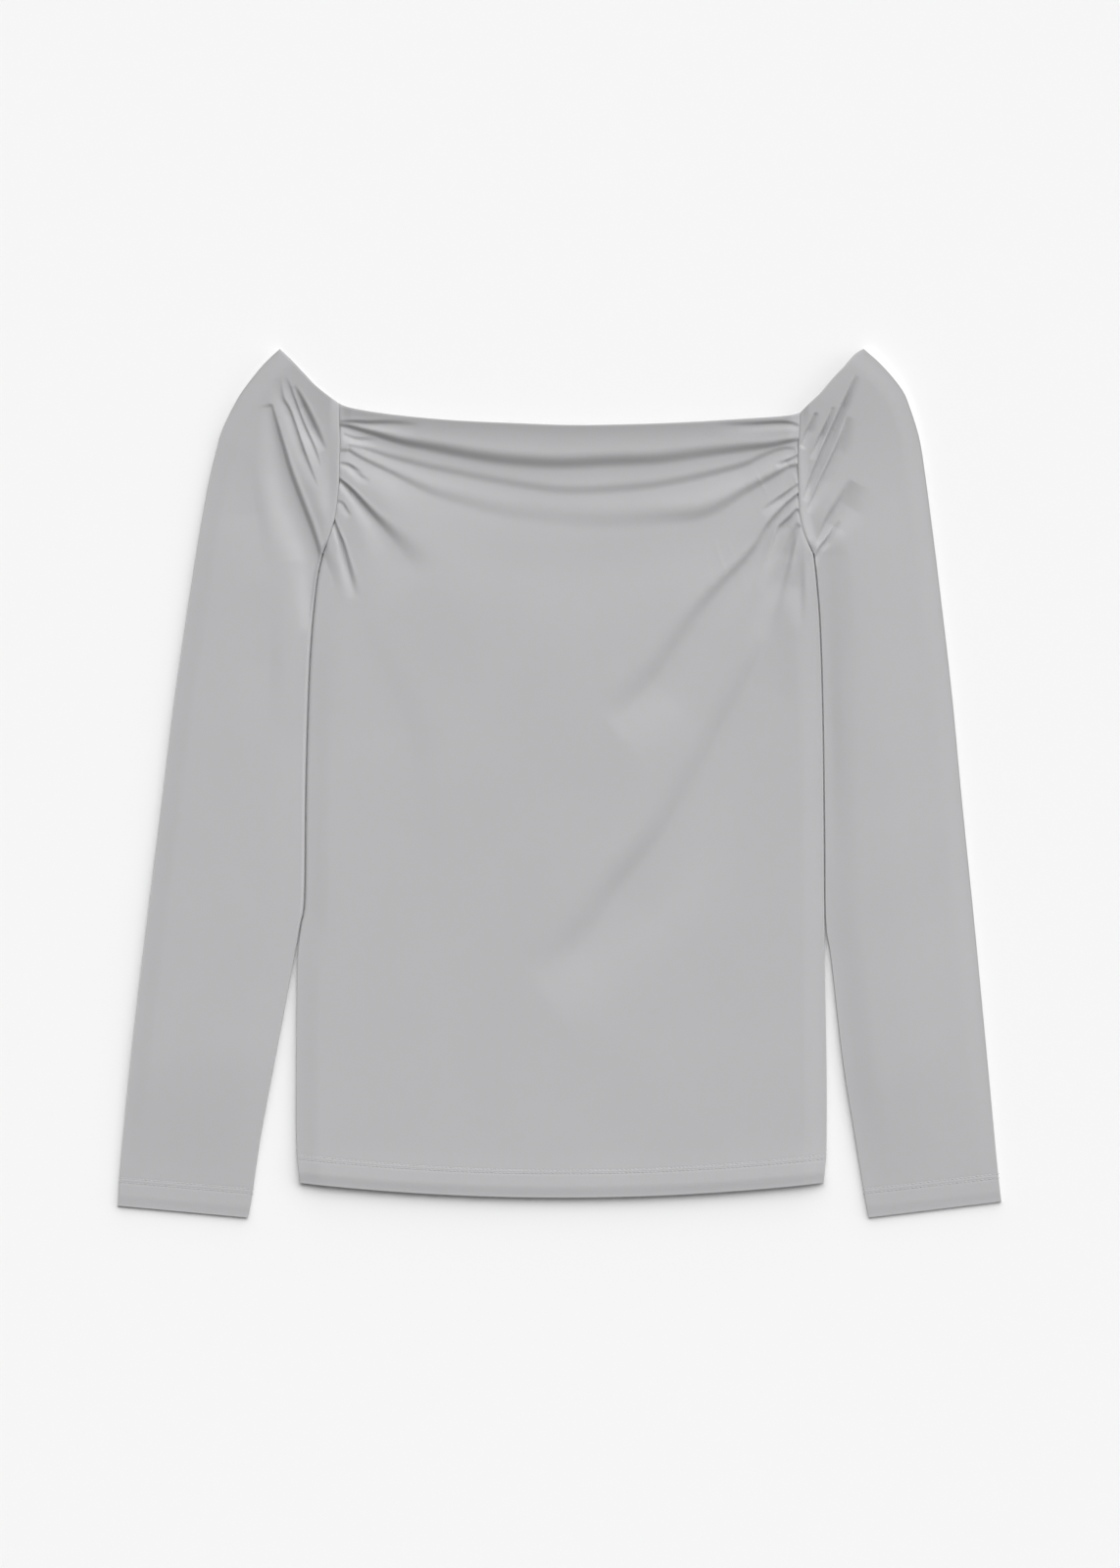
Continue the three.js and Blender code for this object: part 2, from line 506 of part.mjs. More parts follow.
function sleeve(name) {
  const relief = reliefOf(SLEEVE_FOLDS[name]);
  const rows = sleeveRows(name);
  const radius = SLEEVE_TOP / 2;
  const [atNeck, atUnderarm, below] = SLEEVE_CROWDING;
  const outer = [];
  const inner = [];
  for (const row of rows) {
    const width = row.from.distanceTo(row.to);
    const level = width - 2 * radius;
    const wall = CLOTH + HEM_EXTRA * row.hem;
    const thin = radius - wall;
    const crowding =
      row.armhole < 1
        ? mix(atNeck, atUnderarm, row.armhole)
        : mix(atUnderarm, below, smooth(row.down / CROWDING_FADE));
    // The first rows bend towards the curve of the neckline edge.
    const curved = clamp01(1 - row.armhole / NECK_FADE);
    const at = (distance) => {
      const share = distance / width;
      const straight = row.from.clone().lerp(row.to, share);
      const chord = row.neck(0).clone().lerp(row.neck(1), clamp01(share));
      return straight.add(row.neck(clamp01(share)).sub(chord).multiplyScalar(curved));
    };
    const outerRow = [];
    const innerRow = [];
    // Outer and inner place, each as distance and height, and the share of the relief that it keeps.
    const add = (outDistance, outZ, inDistance, inZ, keep) => {
      const out = at(outDistance);
      const into = at(inDistance);
      const crown = SLEEVE_CROWN * Math.sin(Math.PI * clamp01(outDistance / width));
      const folds = folded(SLEEVE_TOP + crown, relief(out.x, out.y), nearSeam(row, outDistance));
      const bend = (folds.top - SLEEVE_TOP + folds.relief) * keep;
      outerRow.push([out.x, out.y, outZ + bend]);
      innerRow.push([into.x, into.y, inZ + bend]);
    };
    // The inner edge, of the upper or the lower layer, and the fold along the top of the arm.
    const quarter = (turn, upper) => {
      const { outIn, outDown, inIn, inDown, keep } = rolled(turn, radius, wall, row.roll);
      if (upper) add(outIn, SLEEVE_TOP - outDown, inIn, SLEEVE_TOP - inDown, keep);
      else add(outIn, outDown, inIn, inDown, 0);
    };
    const fold = (turn) => {
      const reach = Math.sin(turn * Math.PI);
      const rise = Math.cos(turn * Math.PI);
      const keep = rise > 0 ? 1 - reach : 0;
      const start = width - radius;
      add(start + radius * reach, radius * (1 + rise), start + thin * reach, radius + thin * rise, keep);
    };
    for (let k = 0; k < ROLL_STEPS; k++) quarter(1 - k / ROLL_STEPS, true);
    for (let k = 0; k < SLEEVE_COLUMNS; k++) {
      const distance = radius + level * (k / SLEEVE_COLUMNS) ** crowding;
      add(distance, SLEEVE_TOP, distance, SLEEVE_TOP - wall, 1);
    }
    for (let k = 0; k <= 2 * ROLL_STEPS; k++) fold(k / (2 * ROLL_STEPS));
    for (let k = SLEEVE_BACK_COLUMNS - 1; k >= 0; k--) {
      const distance = radius + (level * k) / SLEEVE_BACK_COLUMNS;
      add(distance, 0, distance, wall, 0);
    }
    for (let k = 1; k <= ROLL_STEPS; k++) quarter(k / ROLL_STEPS, false);
    outer.push(outerRow);
    inner.push(innerRow);
  }
  return clothWall(outer, inner, (i) => rows[i].armhole === 1);
}

function piece(name, geometry) {
  const material = new THREE.MeshStandardMaterial({ color: GREY, roughness: 0.8, metalness: 0 });
  const mesh = new THREE.Mesh(geometry, material);
  mesh.name = name;
  return mesh;
}

const top = new THREE.Group();
top.name = "off_shoulder_top";
top.add(piece("back_panel", bodyPanel({ isBack: true })));
top.add(piece("front_panel", bodyPanel({ isBack: false })));
top.add(piece("right_sleeve", sleeve("right_sleeve")));
top.add(piece("left_sleeve", sleeve("left_sleeve")));

export default top;
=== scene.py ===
# The looks of an off-shoulder top in thin grey jersey, laid flat on its back with the front up.
# Tables and lengths are in millimetres and become metres when a mesh is made.
# X runs to the right of someone who looks down at the front, Y runs up to the neckline, and Z is up.
import math

import bmesh
import bpy
import numpy as np
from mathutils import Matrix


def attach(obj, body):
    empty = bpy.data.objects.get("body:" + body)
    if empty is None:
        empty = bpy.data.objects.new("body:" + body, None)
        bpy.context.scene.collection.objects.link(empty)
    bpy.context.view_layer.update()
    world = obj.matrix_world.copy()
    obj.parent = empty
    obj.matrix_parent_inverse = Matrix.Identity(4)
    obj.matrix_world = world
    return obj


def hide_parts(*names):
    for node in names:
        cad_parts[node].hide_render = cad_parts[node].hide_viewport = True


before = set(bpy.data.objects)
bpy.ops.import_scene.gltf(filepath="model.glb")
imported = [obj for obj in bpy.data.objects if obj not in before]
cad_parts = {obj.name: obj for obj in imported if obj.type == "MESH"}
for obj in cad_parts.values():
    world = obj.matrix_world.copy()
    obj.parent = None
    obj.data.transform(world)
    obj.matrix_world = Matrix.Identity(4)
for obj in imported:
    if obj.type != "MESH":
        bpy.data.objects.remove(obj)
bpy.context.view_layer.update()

MM = 0.001
SLEEVES = ("right_sleeve", "left_sleeve")  # the wearer's, in the order of X

# The cloth and its layers. A top is a height over the floor, and an ease is the length of a change.
CLOTH = 0.85  # wall of every piece
TURNED = 1.5  # wall where the hem is turned up
CUFF_TURNED = 1.0  # wall where a cuff is turned up, which lies flatter
HEM_DEPTH = 19  # how far the hem and the cuffs are turned up
SEAM_HALF = 0.04  # each piece stops this far from its seam
SIDE_GAP = 0.7  # between the body's side and the sleeve beside it
LAYER_GAP = 0.25  # least space between two layers under a fold
LEAST_ROOM = 0.05  # what a fold of the hidden side has even where the layers leave less

# The body
FRONT_TOP = 5.1  # away from the folds
NECK_TOP = 7.5  # along the neckline
NECK_EASE = 110
NECK_FLARE = 1.8  # how much more the very edge of the neckline stands up
FLARE_EASE = 7
FLARE_POWER = 1.25
HEM_TOP = 5.7
HEM_EASE = 34
SIDE_SAG = 1.2  # how much lower the front lies along its side seams
SIDE_EASE = 18
BACK_NECK_DROP = 4  # how much lower the back's neckline is than the front's, at its middle
BACK_HEM_RISE = 3  # and how much higher its hem is

# The gathered armhole seams
SEAM_TOP = 5.2  # at the underarm
SEAM_TOP_AT_NECK = 7.0
SEAM_EASE = 9
SEAM_PINCH = 0.45  # the share of a fold's height that its seam takes away
DITCH = 0.4  # depth of the line along the seam
DITCH_WIDTH = 0.9
ROLL_SHARE = 0.9  # from this share of the armhole down, the edges start to roll towards the underarm

# The sleeves
SLEEVE_TOP = {"right_sleeve": 4.8, "left_sleeve": 3.9}
SLEEVE_CROWN = {"right_sleeve": 0.7, "left_sleeve": 1.7}  # how much fuller the middle is
CROWN_START = 1 / 6  # share of the armhole at which that begins
CROWN_EASE = 26  # from the seam
OUTER_EASE = 62  # from the outer fold
SHOULDER_LIFT = {"right_sleeve": 4.0, "left_sleeve": 5.0}  # how much higher the neckline end lies
SHOULDER_END = 0.75  # share of the armhole at which that has run out
SLEEVE_SAG = {"right_sleeve": 1.2, "left_sleeve": 0.7}  # how much lower the outer fold lies
SAG_EASE = 16
CUFF_DROP = {"right_sleeve": 2.2, "left_sleeve": 1.45}  # how much lower the cuff lies
CUFF_START = 0.75  # share of the sleeve below the underarm at which that begins
UNDER_START = 1 / 8  # share of the width, from the outer fold, over which the folds underneath begin

# Rolled edges. A reach is the width of the roll, as a share of half the height.
SIDE_REACH = {"right_sleeve": 1, "left_sleeve": 0.25}  # where that sleeve lies beside the body
FOLDED_EDGE = 0.18  # on a flat folded edge
SIDE_WALL = 0.85  # the most of that width that the wall takes up
FREE_SIDE = -85  # from this Y down the edges of body and sleeves become flat folds
FREE_EASE = 40

# Open edges, with distances from the edge
NOSE = [0, 0.03, 0.08, 0.16]  # where the rounding of an edge is drawn
SLEEVE_NOSE = (0, 0.0003, 0.0008, 0.0016)  # the same at a sleeve's neckline, in shares of the armhole
NOSE_PINCH = 0.47  # the share of the wall by which each side comes in at the very edge
SUPPORT = 0.34  # the first plain row beyond the rounding
HEM_DROOP = 0.65  # how much lower the very edge of the hem lies
CUFF_DROOP = 0.4
DROOP_EASE = 9
HEM_LIFT = 0.14  # how much the turned-up layer lifts the cloth
LIFT_EASE = 3
STITCH_ROWS = (17.4, 20.4)  # the two rows of twin stitching
STITCH_SINK = 0.16  # how far they pull the cloth down
UNDER_SINK = 0.36  # how far they pull it up on the side that lies on the floor
STITCH_EASE = 0.8
LIMIT_POWER = 4  # how sharply the depth of a fold is held back
FAR = 1e3  # stands for the distance where no open edge is near

# The rows of the body fan out from the gathered seams, and sag to these places at the middle.
NECK_MIDDLE = 255.5
FAN_DEPTH = 326  # from the neckline's middle to that of the row between the underarms
FAN_POWER = 1.42
HEM_MIDDLE = -295.5
HEM_CORNER = -285
HEM_HALF_WIDTH = 189
UNDERARM = 163.5
NECK_FADE = 0.12  # the share of the armhole over which the curve of the neckline dies away

# Grid sizes. Counts of rows and columns are even, because the inside of the cloth has every second one.
FAN_ROWS = 126
FAN_START = 0.0204  # share of the armhole at which the plain rows begin
SLEEVE_FAN_ROWS = 160
SLEEVE_FAN_START = 0.016
BODY_ROWS = 96
SLEEVE_ROWS = 90
BODY_EASE = 1.5  # a power that brings these rows closer together near the underarm
HEM_ROWS = 36
HEM_BAND = 26  # the distance from the edge that they cover
FRONT_COLUMNS = 240
BACK_COLUMNS = 120
CROWDING = 0.6  # the share by which the body's columns stand closer at the sides
SLEEVE_COLUMNS = 184
SLEEVE_BACK_COLUMNS = 40
# Powers that bring a sleeve's columns closer to its seam: at the neckline, at the underarm, further down.
SLEEVE_CROWDING = (1.1, 1.6, 1.2)
CROWDING_FADE = 0.25  # the share of the sleeve below the underarm over which that changes
ROLL_STEPS = 6
ROLLS = np.arange(ROLL_STEPS) / ROLL_STEPS
SPLINE_STEPS = 60

# Outlines seen from above. Columns: x, y.
NECKLINE = [
    (-157, 271), (-147.5, 267.5), (-119.5, 263), (-77.5, 259), (-35.5, 257), (6.5, 255.5),
    (48.5, 256), (90.5, 257.5), (132.5, 260), (160.5, 262), (171.5, 264.5),
]
ARMHOLE = {
    "right_sleeve": [
        (-157, 271), (-157, 258.5), (-156.5, 244.5), (-157, 230.5), (-157, 217.5), (-158.5, 202),
        (-160.5, 188.5), (-164.5, 175.5), (-169, 163.5),
    ],
    "left_sleeve": [
        (171.5, 264.5), (171, 251), (170, 232), (170.5, 212.5), (171, 193), (174.5, 178), (181.5, 163.5),
    ],
}
BODY_SIDE = {
    "right_sleeve": [
        (-169, 163.5), (-173, 145), (-176.5, 111.5), (-179, 69.5), (-181, 0), (-182, -81),
        (-184.5, -98.5), (-187, -118), (-188, -147.5), (-188.5, -217), (-188.2, -258), (-186, -285),
    ],
    "left_sleeve": [
        (181.5, 163.5), (183.5, 145), (186, 111.5), (188, 48), (189, -35.5), (189.5, -97),
        (190, -140.5), (191, -200), (191, -258), (189, -285),
    ],
}
SLEEVE_INNER = {
    "right_sleeve": [
        (-169, 163.5), (-173, 145), (-176.5, 111.5), (-179, 69.5), (-181, 0), (-182, -81),
        (-185, -102), (-192, -140.5), (-202.5, -196.5), (-213, -252.5), (-220, -300), (-222.5, -310),
    ],
    "left_sleeve": [
        (181.5, 163.5), (183.5, 145), (186, 111.5), (188, 48), (189, -35.5), (189.5, -97),
        (193.5, -126.5), (201.5, -196.5), (210.5, -252.5), (219.5, -305.5), (222, -310),
    ],
}
SLEEVE_TOP_FOLD = {
    "right_sleeve": [
        (-199.5, 310), (-212, 298), (-225.5, 281), (-233, 268.5), (-241, 251.5), (-245, 237.5),
        (-251.5, 209.5), (-259.5, 163.5),
    ],
    "left_sleeve": [
        (217, 310), (230.5, 298), (244.5, 281), (250.5, 267), (255.5, 251.5), (258.5, 237.5),
        (262.5, 209.5), (268.5, 163),
    ],
}
SLEEVE_OUTER = {
    "right_sleeve": [
        (-259.5, 163.5), (-273.5, 69.5), (-284, -14.5), (-294.5, -98.5), (-304.5, -182.5),
        (-313, -266.5), (-315.5, -301.5),
    ],
    "left_sleeve": [
        (268.5, 163), (279.5, 69.5), (287.5, -14.5), (296, -98.5), (304, -182.5), (312, -266.5),
        (315.5, -298.5),
    ],
}
SLEEVE_NECK = {
    "right_sleeve": [
        (-157, 271), (-166, 277.5), (-174.5, 284.5), (-182.5, 293), (-191, 302), (-199.5, 310),
    ],
    "left_sleeve": [
        (171.5, 264.5), (177, 270), (185.5, 278), (194, 288), (202.5, 297), (210.5, 306), (217, 310),
    ],
}


def crease(path, half_width, height, trail=2, shoulder=1.0):
    """A fold: its path from above, then half widths and heights at even shares of the path.
    A negative height is a trough: its path is the steep side, and the other side is wider by trail.
    shoulder is how strongly the cloth rises beside the steep side."""
    return {"path": path, "half_width": half_width, "height": height, "trail": trail, "shoulder": shoulder}


def under_crease(path, half_width, height):
    """A fold of the hidden side, which is as wide on one side as on the other."""
    return crease(path, half_width, height, trail=1)


FRONT_FOLDS = [
    # the swags that hang from seam to seam under the neckline
    crease([(-156, 255.5), (-148, 254), (-131, 249), (-112.5, 243.5), (-91.5, 239.5), (-63.5, 234),
            (-35.5, 230), (0, 228), (35, 229.5), (70, 231), (104.5, 235.5), (132.5, 239), (150, 241),
            (161.5, 243.5), (170, 245)],
           (2, 5, 7.5, 8.5, 8.5, 8.5, 8, 6, 2.4),
           (-2.4, -2.9, -3.2, -3.3, -3.3, -3.2, -2.8, -2.6, -1.8), trail=3.6),
    crease([(-150, 241), (-138.5, 239), (-120, 233), (-91.5, 225.5), (-63.5, 219.5), (-35.5, 214),
            (0, 209), (35, 209.5), (70, 213), (104.5, 220), (132.5, 227.5), (143.5, 233), (157.5, 238.5),
            (166.5, 239)],
           (1.6, 4.4, 5, 5.4, 5.4, 5.4, 5, 4, 2), (-0.6, -1.8, -1.8, -1.9, -1.9, -2, -2, -2.2, -0.8),
           trail=4.4, shoulder=0.6),
    crease([(-155.5, 237.5), (-151, 238), (-141, 232), (-120, 222), (-91.5, 208.5), (-63.5, 200.5),
            (-35.5, 194), (0, 190), (35, 188), (70, 189.5), (104.5, 193), (135.5, 210), (153.5, 220),
            (164, 226), (169.5, 227)],
           (2, 3.6, 9, 13, 15, 15, 11, 6, 2.4), (-1.2, -1.6, -1.9, -2.1, -2.2, -2.4, -2.6, -3.2, -2),
           trail=4, shoulder=0.7),
    # gathers at the seam of the wearer's right sleeve, from the neckline down
    crease([(-156, 258), (-146.5, 258), (-136, 257.5), (-120, 257.5), (-99, 256)],
           (1.8, 2.2, 2.4, 3, 3), (-1, -1.3, -1.2, -0.8, 0)),
    crease([(-153, 249), (-145.5, 246.5), (-138.5, 246), (-129, 245.5)], (1.6, 2, 2.2), (-0.6, -1, 0)),
    crease([(-155, 228.5), (-150.5, 227.5), (-145.5, 224.5), (-140, 221)], (1.5, 1.8, 2), (-1, -1.4, 0)),
    crease([(-148, 223.5), (-142, 220), (-134, 215)], (1.6, 1.8, 1.8), (0, -0.7, 0)),
    crease([(-157.5, 217.5), (-151.5, 212.5), (-145.5, 206.5), (-133.5, 193), (-120, 179), (-91.5, 150)],
           (1.4, 2.2, 4, 8, 14, 18), (-2.6, -3, -2.4, -1.7, -1.1, 0)),
    crease([(-157.5, 201.5), (-154, 199.5), (-151, 194.5), (-148, 191)], (1.4, 1.6, 1.8), (-0.9, -1, 0)),
    crease([(-161, 189), (-157.5, 179), (-154.5, 171.5), (-150, 155), (-144, 133)],
           (1.3, 1.9, 3, 4.5), (-2.4, -3, -2, 0), trail=1.4),
    crease([(-148, 150), (-133, 108), (-105, 44.5), (-92, -20), (-88, -70)], (12, 18, 20), (0, -0.5, 0)),
    # gathers at the seam of the wearer's left sleeve, from the neckline down
    crease([(170, 255.5), (165, 257), (155.5, 257.5), (136, 256.5), (111.5, 256)],
           (1.6, 2, 2.2, 2.6, 3), (-0.9, -1.2, -1, -0.5, 0)),
    crease([(169.5, 234), (165, 231.5), (160, 229.5), (154, 228)], (1.4, 2, 2.2), (-1.1, -1.5, 0)),
    crease([(170, 213.5), (162.5, 208), (155.5, 203), (143, 194.5)], (1.4, 2, 2.6), (-1, -1.6, 0)),
    crease([(170, 206.5), (165.5, 202.5), (159.5, 197), (147.5, 182.5), (136, 163.5), (101.5, 126),
            (64.5, 76), (32, 48)],
           (1.6, 4, 8, 12, 15, 17), (-2, -3, -3.3, -3.2, -2.8, 0)),
    crease([(168.5, 195), (163.5, 189.5), (159.5, 185.5), (155.5, 180), (149, 161.5), (141, 140)],
           (1.6, 2.8, 3.2, 3.6, 5), (-1.8, -3.2, -1.8, -0.5, 0)),
    crease([(171.5, 182.5), (168.5, 176.5), (166.5, 168.5), (162.5, 153), (157, 132), (150, 100)],
           (1.6, 3, 4, 6, 8), (-1.8, -3, -1.8, -0.6, 0)),
    crease([(160.5, 159), (154.5, 147), (148, 131)], (4, 6, 8), (0, -0.6, 0)),
    crease([(153.5, 159.5), (140, 93), (107, 27), (75, -30), (42, -72), (12, -108), (-22.5, -136)],
           (10, 16, 19, 20, 20), (0, -3.8, -4.4, -4, 0)),
    crease([(172.5, 168), (173.5, 152), (173.5, 111.5)], (2.4, 4, 4), (0, -1.2, 0)),
]
RIGHT_SLEEVE_EDGE = [
    (-205, 269), (-197.5, 241.5), (-192.5, 223.5), (-186.5, 206.5), (-181.5, 193.5), (-176.5, 180),
    (-171.5, 163),
]
SLEEVE_FOLDS = {
    "right_sleeve": [
        crease(RIGHT_SLEEVE_EDGE + [(-173, 150), (-176, 130), (-178.5, 112)],
               (1.6, 2.4, 3.4, 4, 4, 3.4, 2.4, 1.4),
               (-0.8, -2.8, -4.2, -4.8, -4.8, -4.2, -2.6, -0.4), trail=4),
        crease([(-187, 262), (-183, 240), (-177.5, 222), (-172, 204), (-167.5, 188), (-166, 172)],
               (4, 8, 9, 8, 5), (0, 0.9, 1.3, 1.4, 0.6)),
        crease([(-199, 289), (-197, 275), (-191.5, 264.5), (-182, 236.5), (-174, 216), (-172, 211)],
               (1.6, 1.8, 1.8, 1.8), (0, -1.7, -1.7, 0), trail=3),
        crease([(-195, 290), (-191.5, 281.5), (-183, 258.5), (-174.5, 239), (-170.5, 226)],
               (1.6, 1.8, 1.8, 1.6), (0, -1.7, -1.7, 0), trail=2.6),
        crease([(-189, 284), (-185.5, 278), (-180.5, 268), (-172, 250), (-166.5, 238)],
               (1.8, 2.8, 3.2, 2.4), (0, -2.5, -2.5, 0), trail=1.8),
        crease([(-220, 240.5), (-212, 188.5), (-204.5, 146.5)], (8, 11, 11), (0, -0.8, 0)),
        crease([(-200, 139.5), (-201.5, 90), (-202, 27.5)], (9, 12, 12), (0, -0.7, 0)),
    ],
    "left_sleeve": [
        crease([(211, 291), (204, 275), (198.5, 263), (188, 239.5), (178, 215), (174, 204)],
               (1.5, 1.9, 2.1, 2, 1.8), (0, -4, -5, -4.6, -0.5), trail=2),
        crease([(205, 262), (198.5, 242.5), (187, 218), (181, 205), (177, 196)],
               (2, 2.4, 2.4, 1.8), (0, -3.6, -4, -0.3), trail=2.4),
        crease([(194, 267), (190, 257), (183, 242.5), (178.5, 232)],
               (1.4, 1.8, 1.8), (-0.4, -3, 0), trail=1.6),
        crease([(181.5, 263), (178, 255), (175, 249), (172, 241.5)],
               (1.4, 2, 1.8), (-0.8, -2.2, -1.2), trail=1.6),
        crease([(207, 217), (199, 202), (192, 191), (187, 181.5), (182.5, 171)],
               (4, 4.6, 3.6, 2.2), (0, -2.6, -3.6, -0.3), trail=3),
        crease([(199, 188), (195, 181.5), (190, 173.5), (185, 167), (181.5, 159)],
               (1.4, 1.7, 1.6), (0, -3, -0.8), trail=1.6),
        crease([(196.5, 139.5), (197.5, 41.5), (201, -56.5)], (7, 10, 10), (0, -0.7, 0)),
    ],
}
# The hidden side has the same kind of gathers, and it is pressed flatter by the cloth above it.
BACK_FOLDS = [
    under_crease([(-155, 252), (-92, 236), (-20, 226), (44, 227), (110, 238), (169, 249)],
                 (1.8, 5, 2), (-0.5, -0.7, -0.5)),
    under_crease([(-155, 238), (-101, 219), (-14, 203), (72, 209), (168, 238)],
                 (1.8, 5, 2), (-0.5, -0.5, -0.5)),
    under_crease([(-155, 229), (-118, 206), (-66, 187), (8, 174), (88, 184), (146, 209), (168, 225)],
                 (1.8, 7, 2), (-0.5, -0.5, -0.5)),
    under_crease([(-156, 217), (-129, 187), (-95, 158), (-52, 128)], (1.8, 6, 11), (-0.7, -0.6, 0)),
    under_crease([(-157, 205), (-146, 189), (-137, 170)], (1.6, 2.4, 3), (-0.6, -0.5, 0)),
    under_crease([(-161, 190), (-150, 152), (-139, 117), (-121, 68)], (1.8, 4, 9), (-0.7, -0.6, 0)),
    under_crease([(169, 213), (149, 184), (119, 146), (83, 106), (52, 69)], (1.8, 7, 13), (-0.7, -0.7, 0)),
    under_crease([(170, 200), (156, 179), (146, 151)], (1.6, 3, 4), (-0.6, -0.5, 0)),
    under_crease([(171, 187), (159, 149), (144, 101), (124, 52), (93, -4)], (2, 6, 12), (-0.7, -0.7, 0)),
    under_crease([(-110, 20), (-84, -70), (-76, -160)], (9, 14, 14), (0, -0.5, 0)),
]
SLEEVE_UNDER_FOLDS = {
    "right_sleeve": [
        under_crease([(-200, 281), (-189, 246), (-176, 214)], (2, 3.4, 2.4), (-0.4, -0.8, 0)),
        under_crease([(-190, 276), (-179, 249), (-166, 226)], (2, 2.8, 2.4), (-0.4, -0.7, 0)),
        under_crease([(-213, 252), (-199, 211), (-183, 176)], (3, 5, 3), (0, -0.8, -0.5)),
        under_crease([(-232, 150), (-236, 74), (-243, -8)], (7, 9, 9), (0, -0.5, 0)),
    ],
    "left_sleeve": [
        under_crease([(211, 279), (198, 248), (183, 215)], (2, 3.2, 2.4), (-0.4, -0.8, 0)),
        under_crease([(199, 270), (189, 246), (177, 226)], (2, 2.6, 2.4), (-0.4, -0.7, 0)),
        under_crease([(222, 242), (208, 206), (192, 176)], (3, 5, 3), (0, -0.8, -0.5)),
        under_crease([(232, 128), (236, 40), (243, -52)], (7, 9, 9), (0, -0.5, 0)),
    ],
}


def mix(a, b, t):
    """From a at t = 0 to b at t = 1."""
    return a + (b - a) * t


def smooth(t):
    """0 up to t = 0, then a smooth rise to 1 at t = 1."""
    t = np.clip(t, 0, 1)
    return t * t * (3 - 2 * t)


def from_share(start, share):
    """Rises smoothly from 0 at the start to 1 where the share is 1."""
    return smooth((share - start) / (1 - start))


def spline(points):
    """Close points on a smooth curve through the given ones."""
    p = np.array(points, float)
    padded = np.vstack([p[:1], p, p[-1:]])
    t = np.linspace(0, len(p) - 1, SPLINE_STEPS * (len(p) - 1) + 1)
    i = np.minimum(t.astype(int), len(p) - 2)
    w = (t - i)[:, None]
    a, b, c, d = (padded[i + k] for k in range(4))
    leaving, arriving = (c - a) / 2, (d - b) / 2
    cubic = 2 * b - 2 * c + leaving + arriving
    square = 3 * c - 3 * b - 2 * leaving - arriving
    return ((cubic * w + square) * w + leaving) * w + b


def lengths(line):
    """The distance along a line of points at each of them."""
    return np.concatenate([[0], np.cumsum(np.linalg.norm(np.diff(line, axis=0), axis=1))])


def along(points, share):
    """Points of the curve at shares of its length."""
    line = spline(points)
    reached = lengths(line)
    return np.stack([np.interp(share * reached[-1], reached, line[:, k]) for k in (0, 1)], -1)


def crossing(points, axis, values):
    """Points of the curve where its x (axis 0) or its y (axis 1) has the given values."""
    line = spline(points)
    if line[-1, axis] < line[0, axis]:
        line = line[::-1]
    return np.stack([np.interp(values, line[:, axis], line[:, k]) for k in (0, 1)], -1)


def spread(values, t):
    """The values read at shares of the way from the first to the last, at even steps."""
    return np.interp(t, np.linspace(0, 1, len(values)), values)


FALL = 1.3  # how fast a fold falls off to its sides
STEEP_SHIFT = 0.5  # from the steep side of a trough to its bottom, in half widths
GENTLE_SIDE = np.array([-0.3, -0.95])  # seen from above, where the gentle side of a trough lies
REACH = 2.6  # half widths beyond which a fold is nil
PATH_STEPS = 60


def nearest_on(path, places):
    """For each place, the nearest point of the path: its share of the path, the offset and the distance
    from there to the place, and the direction of the path."""
    step = np.diff(path, axis=0)
    offset = places[:, None] - path[:-1]
    t = np.clip((offset * step).sum(-1) / (step**2).sum(-1), 0, 1)
    away = offset - t[..., None] * step
    distance = np.linalg.norm(away, axis=-1)
    nearest = distance.argmin(1)
    pick = np.arange(len(nearest))
    share = (nearest + t[pick, nearest]) / PATH_STEPS
    return share, away[pick, nearest], distance[pick, nearest], step[nearest]


def fold_height(fold, share, to_gentle, distance):
    """Height of a fold by the share of its path, the distance towards its gentle side and that in all."""
    half_width = spread(fold["half_width"], share)
    gentle = to_gentle / half_width
    beyond = np.sqrt(np.maximum((distance / half_width) ** 2 - gentle**2, 0))
    if fold["height"][1] > 0:
        q = np.hypot(gentle, beyond)
        shape = np.exp(-FALL * q**2)
    else:
        from_bottom = gentle - STEEP_SHIFT
        q = np.hypot(np.where(from_bottom > 0, from_bottom / fold["trail"], from_bottom), beyond)
        shoulder = fold["shoulder"] * (from_bottom < 0)
        shape = (1 - shoulder * q**2) * np.exp(-FALL * q**2)
    return np.where(q < REACH, spread(fold["height"], share) * shape, 0)


def relief(folds, x, y):
    """The summed height of the folds at each point."""
    places = np.stack([x.ravel(), y.ravel()], -1)
    total = np.zeros(len(places))
    for fold in folds:
        path = along(fold["path"], np.linspace(0, 1, PATH_STEPS + 1))
        margin = REACH * fold["trail"] * max(fold["half_width"])
        near = np.all((places > path.min(0) - margin) & (places < path.max(0) + margin), axis=1)
        if not near.any():
            continue
        share, away, distance, ahead = nearest_on(path, places[near])
        across = (path[-1] - path[0])[::-1] * (1, -1)
        side = ahead[:, ::-1] * (1, -1) * math.copysign(1, across @ GENTLE_SIDE)
        side = side / np.linalg.norm(side, axis=1)[:, None]
        total[near] += fold_height(fold, share, (away * side).sum(1), distance)
    return total.reshape(x.shape)


